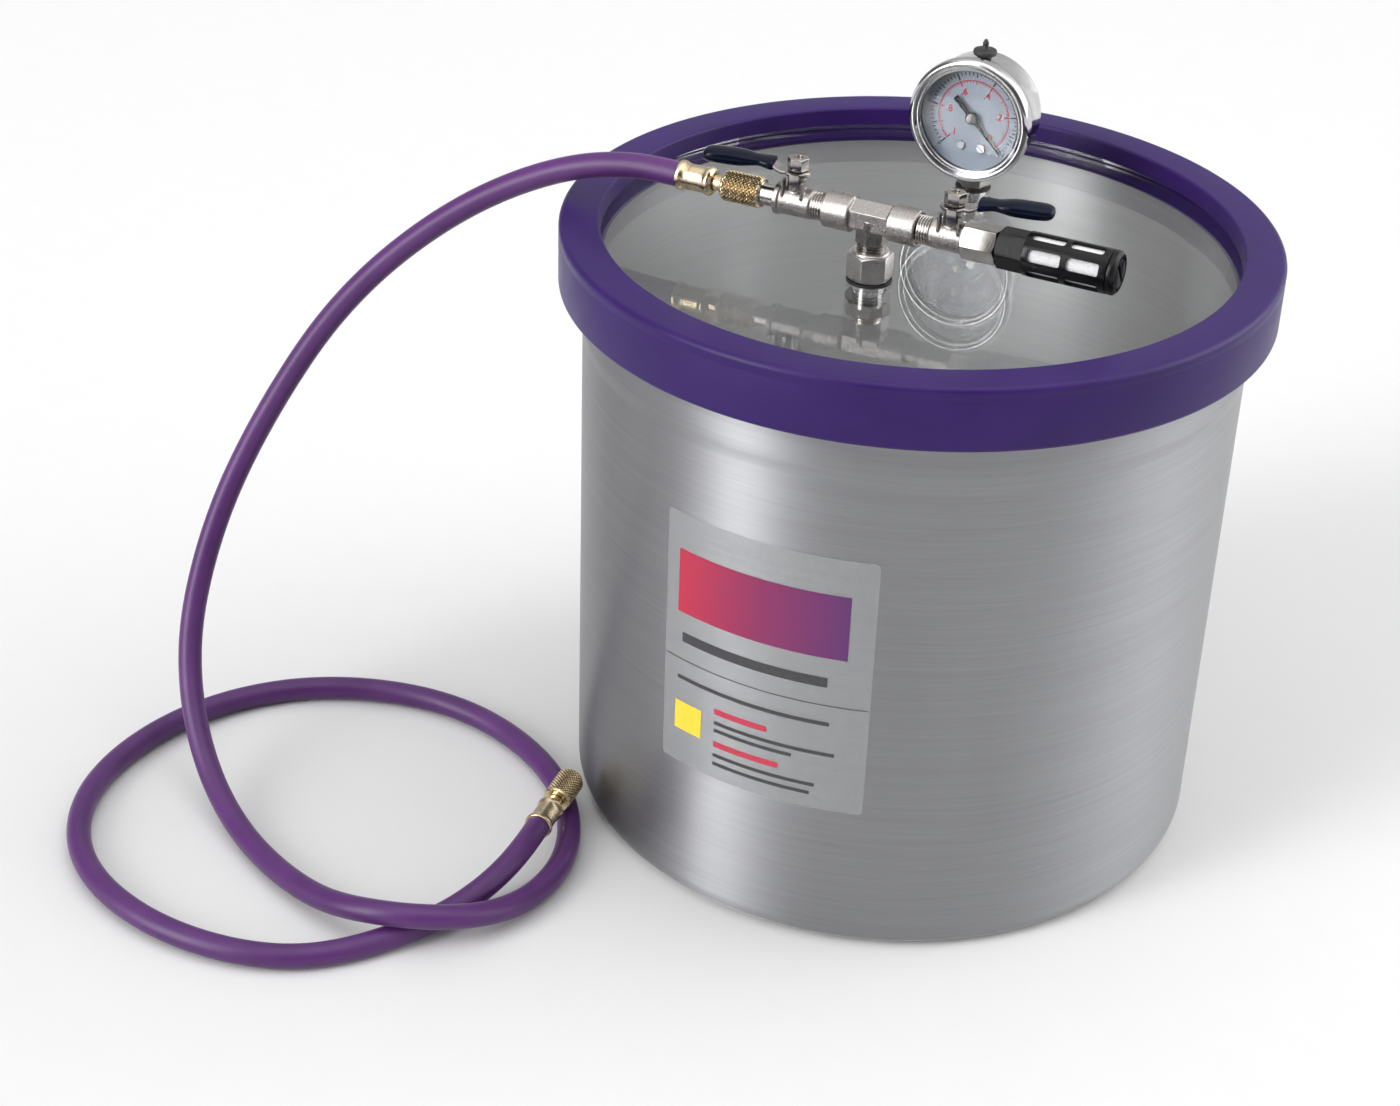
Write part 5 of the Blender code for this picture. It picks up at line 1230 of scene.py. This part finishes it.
def add_gauge_shell(steel, bright, black):
    """Rolled bezel, case, lens, dial plate, the rubber plug on top and the socket under the case."""
    place = at(*GAUGE) @ ALONG_Y
    outline = [
        (BEZEL_OPENING, 2.2 * MM), (BEZEL_OPENING, 1.5 * MM), (BEZEL_OPENING + 1.1 * MM, 0.8 * MM),
        (BEZEL_OPENING + 1.6 * MM, 0.9 * MM), (BEZEL_OPENING + 3.0 * MM, 0.0),
        (BEZEL_RADIUS - 1.6 * MM, 0.1 * MM), (BEZEL_RADIUS - 0.2 * MM, 1.2 * MM),
        (BEZEL_RADIUS, 3.0 * MM), (BEZEL_RADIUS, BEZEL_DEPTH - 1.0 * MM),
        (BEZEL_RADIUS - 0.9 * MM, BEZEL_DEPTH), (SKIRT, BEZEL_DEPTH), (SKIRT, 2.2 * MM),
    ]
    bezel = lathe(rounded(outline, 0.7 * MM, 4), GAUGE_STEPS)
    finish_piece("bezel", bezel, steel, "lid", ["gauge_bezel"], place, sharp=45)
    inner = CASE_RADIUS - CASE_WALL
    outline = [(0.0, CASE_BACK - CASE_WALL), (inner, CASE_BACK - CASE_WALL), (inner, 4.7 * MM)]
    outline += [(LENS_EDGE, 4.7 * MM), (LENS_EDGE, 6.4 * MM), (CASE_RADIUS, BEZEL_DEPTH + 0.6 * MM)]
    outline += arc((CASE_RADIUS - CASE_ROUND, CASE_BACK - CASE_ROUND), CASE_ROUND, 0, 90, 8)
    outline.append((0.0, CASE_BACK))
    case = lathe(outline, GAUGE_STEPS)
    finish_piece("case", case, steel, "lid", ["gauge_case"], place, sharp=40)
    window = clear_glass("gauge_window", (0.98, 0.985, 0.985), 0.0)
    lens = puck(LENS_EDGE, LENS_FRONT, LENS_BACK, 0.2 * MM, GAUGE_STEPS)
    finish_piece("lens", lens, window, "lid", ["gauge_lens"], place)
    dial = lathe(rectangle(0.0, DIAL_RADIUS, DIAL_FRONT, DIAL_BACK), 96)
    finish_piece("dial_plate", dial, dial_paint(), "lid", ["gauge_dial"], place)
    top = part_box("gauge_case")[1].z
    upright = at(GAUGE.x, middle("gauge_plug").y, 0)
    outline = mm([(0.0, -3.0), (3.4, -3.0), (3.4, 0.1), (5.3, 0.2), (5.6, 1.0), (5.4, 2.5)], top)
    outline += mm([(1.7, 2.9), (1.3, 4.6), (1.5, 5.6), (0.7, 7.4), (0.0, 7.6)], top)
    plug = lathe(rounded(outline, 0.5 * MM), DETAIL)
    finish_piece("plug", plug, black, "lid", ["gauge_plug"], upright)
    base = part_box("gauge_upper_washer")[1].z + GAP
    nut = hex_nut(SOCKET_FLATS, base, base + SOCKET_HEIGHT, math.radians(12))
    neck = rod(SOCKET_NECK, base, top - 2 * CASE_RADIUS + 2 * MM, edge=0.2 * MM)
    shank = threaded_rod(SHANK_RADIUS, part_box("gauge_socket")[0].z, base + 2 * MM)
    nut = carve(nut, join(neck), join(shank), bevel=SOFT_EDGE)
    finish_piece("gauge_base", nut, bright, "lid", ["gauge_socket"], upright)


def add_pointer_hub(bright):
    """The bright pressed boss in the middle of the pointer."""
    outline = mm([(0.0, 4.75), (0.9, 4.75), (1.1, 5.2), (2.2, 5.2), (2.5, 5.6), (0.0, 5.6)])
    hub = lathe(rounded(outline, 0.2 * MM), 48)
    finish_piece("pointer_boss", hub, bright, "pointer", (), at(*GAUGE) @ ALONG_Y)


def dial_bar(angle, start, end, width, height):
    """A thin bar on the dial, seen from the front at an angle from +X, anticlockwise."""
    bar = prism(rectangle(start, end, -width / 2, width / 2), -height, 0.0)
    return to_place(bar, Matrix.Rotation(-angle, 4, "Z"))


def scale_angle(share):
    return math.radians(SCALE_START - SCALE_SWEEP * share)


def dial_number(text, angle, radius, size, height):
    """A number as a thin solid, upright on the dial."""
    data = bpy.data.curves.new("number", "FONT")
    data.body = text
    data.size = size
    data.align_x = "CENTER"
    data.align_y = "CENTER"
    data.extrude = height / 2
    data.offset = 0.015 * size
    obj = bpy.data.objects.new("number", data)
    bpy.context.scene.collection.objects.link(obj)
    bpy.context.view_layer.update()
    mesh = bpy.data.meshes.new_from_object(obj.evaluated_get(bpy.context.evaluated_depsgraph_get()))
    bm = bmesh.new()
    bm.from_mesh(mesh)
    bpy.data.objects.remove(obj, do_unlink=True)
    spot = at(radius * math.cos(angle), -radius * math.sin(angle), -height / 2)
    return to_place(bm, spot @ Matrix.Rotation(math.pi, 4, "X"))


def add_dial_print(black, red):
    """Two scales of ticks and plain numbers, from lower left over the top to lower right."""
    place = at(*GAUGE) @ ALONG_Y @ at(0, 0, DIAL_FRONT - 0.02 * MM)
    thick = 0.06 * MM
    outer = []
    inner = []
    for i in range(SCALE_STEPS + 1):
        angle = scale_angle(i / SCALE_STEPS)
        long = i % 10 == 0
        reach = 3.2 * MM if long else (2.4 * MM if i % 5 == 0 else 1.5 * MM)
        wide, narrow = (0.75 * MM, 0.7 * MM) if long else (0.5 * MM, 0.45 * MM)
        outer.append(dial_bar(angle, OUTER_SCALE - reach, OUTER_SCALE, wide, thick))
        inner.append(dial_bar(angle, INNER_SCALE - 0.7 * reach, INNER_SCALE, narrow, thick))
    chord = INNER_SCALE * math.radians(SCALE_SWEEP / ARC_STEPS) * 1.1
    for i in range(ARC_STEPS):
        angle = scale_angle((i + 0.5) / ARC_STEPS)
        inner.append(dial_bar(angle, INNER_SCALE - 0.2 * MM, INNER_SCALE + 0.2 * MM, chord, thick))
    for i, (first, second) in enumerate(zip(INNER_NUMBERS, OUTER_NUMBERS)):
        angle = scale_angle(i / 5)
        inner.append(dial_number(first, angle, 12.2 * MM, 4.6 * MM, thick))
        outer.append(dial_number(second, angle, 22.2 * MM, 1.9 * MM, thick))
    finish_piece("dial_outer_scale", union(*outer), black, "lid", (), place, sharp=30)
    finish_piece("dial_inner_scale", union(*inner), red, "lid", (), place, sharp=30)


# ---------------------------------------------------------------- everything


def repaint(material, *nodes):
    """Give CAD nodes that keep their shape a finished material."""
    for node in nodes:
        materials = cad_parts[node].data.materials
        materials.clear()
        materials.append(material)


def main():
    add_camera()
    hose, path, length = add_hose()
    metal = brushed_aluminium()
    cast = cast_nickel()
    bright = machined("bright_nickel", (0.36, 0.34, 0.325), (0.44, 0.42, 0.40), 0.14, 0.26)
    brass = machined("turned_brass", (0.58, 0.46, 0.29), (0.70, 0.58, 0.39), 0.16, 0.30)
    knurl = knurled_brass()
    steel = machined("polished_steel", (0.56, 0.56, 0.57), (0.66, 0.66, 0.67), 0.06, 0.16)
    black = rubber("black_rubber", (0.012, 0.012, 0.013), (0.022, 0.022, 0.024), 0.45, 0.6)
    vinyl = rubber("black_vinyl", (0.002, 0.003, 0.011), (0.003, 0.005, 0.016), 0.07, 0.14, 300.0, 0.12)
    plastic = rubber("black_plastic", (0.003, 0.003, 0.004), (0.006, 0.006, 0.007), 0.16, 0.28, 500.0, 0.2)
    white = rubber("white_plastic", (0.70, 0.70, 0.70), (0.80, 0.80, 0.80), 0.5, 0.65)
    add_pot(metal)
    add_gasket()
    add_glass()
    add_label()
    # painted highlight: the bulkhead and the nuts under it get a lighter nickel than the other fittings, for the
    # light they catch
    satin = machined("satin_nickel_painted_highlight", (0.60, 0.575, 0.55), (0.72, 0.69, 0.67), 0.26, 0.40)
    add_bulkhead(satin)
    add_tee(cast, bright)
    add_valve_body("vacuum", VACUUM_X, ALONG_MINUS_X, cast, bright, False)
    add_valve_body("vent", VENT_X, ALONG_X, cast, bright, True)
    add_lever("vacuum", VACUUM_X, -1, bright, vinyl)
    add_lever("vent", VENT_X, 1, bright, vinyl)
    add_adapter(bright)
    aim = Vector((math.cos(FREE_AIM), math.sin(FREE_AIM), 0))
    along_free = aim.to_track_quat("Z", "Y").to_matrix().to_4x4()
    add_coupling("hose", "hose_end", at(*HOSE_START) @ ALONG_X, "lid", "hose_nut", brass, knurl)
    add_coupling("free_end", "free_end", at(*FREE_START) @ along_free, "pot", "free_nut", brass, knurl)
    add_filter(plastic, filter_felt())
    add_gauge_shell(steel, bright, black)
    add_pointer_hub(bright)
    add_dial_print(ink("dial_black", (0.015, 0.015, 0.02)), ink("dial_red", (0.55, 0.02, 0.03)))
    repaint(black, "bulkhead_upper_washer", "bulkhead_lower_washer", "gauge_upper_washer", "gauge_lower_washer",
            "hose_seal", "free_end_seal", "vacuum_valve_packing", "vent_valve_packing")
    # the same lighter nickel, a painted highlight, on the bulkhead and gauge nuts
    repaint(satin, "bulkhead_nut", "gauge_nut")
    repaint(brass, "hose_barb", "free_end_barb", "vacuum_valve_stem", "vent_valve_stem", "movement_frame",
            "sector_gear", "bourdon_tube")
    repaint(steel, "vacuum_valve_ball", "vent_valve_ball", "dial_screw_left", "dial_screw_right")
    repaint(white, "vacuum_valve_inner_seat", "vacuum_valve_outer_seat", "vent_valve_inner_seat",
            "vent_valve_outer_seat")
    repaint(plastic, "gauge_pointer")
    add_lights()
    add_floor()


main()
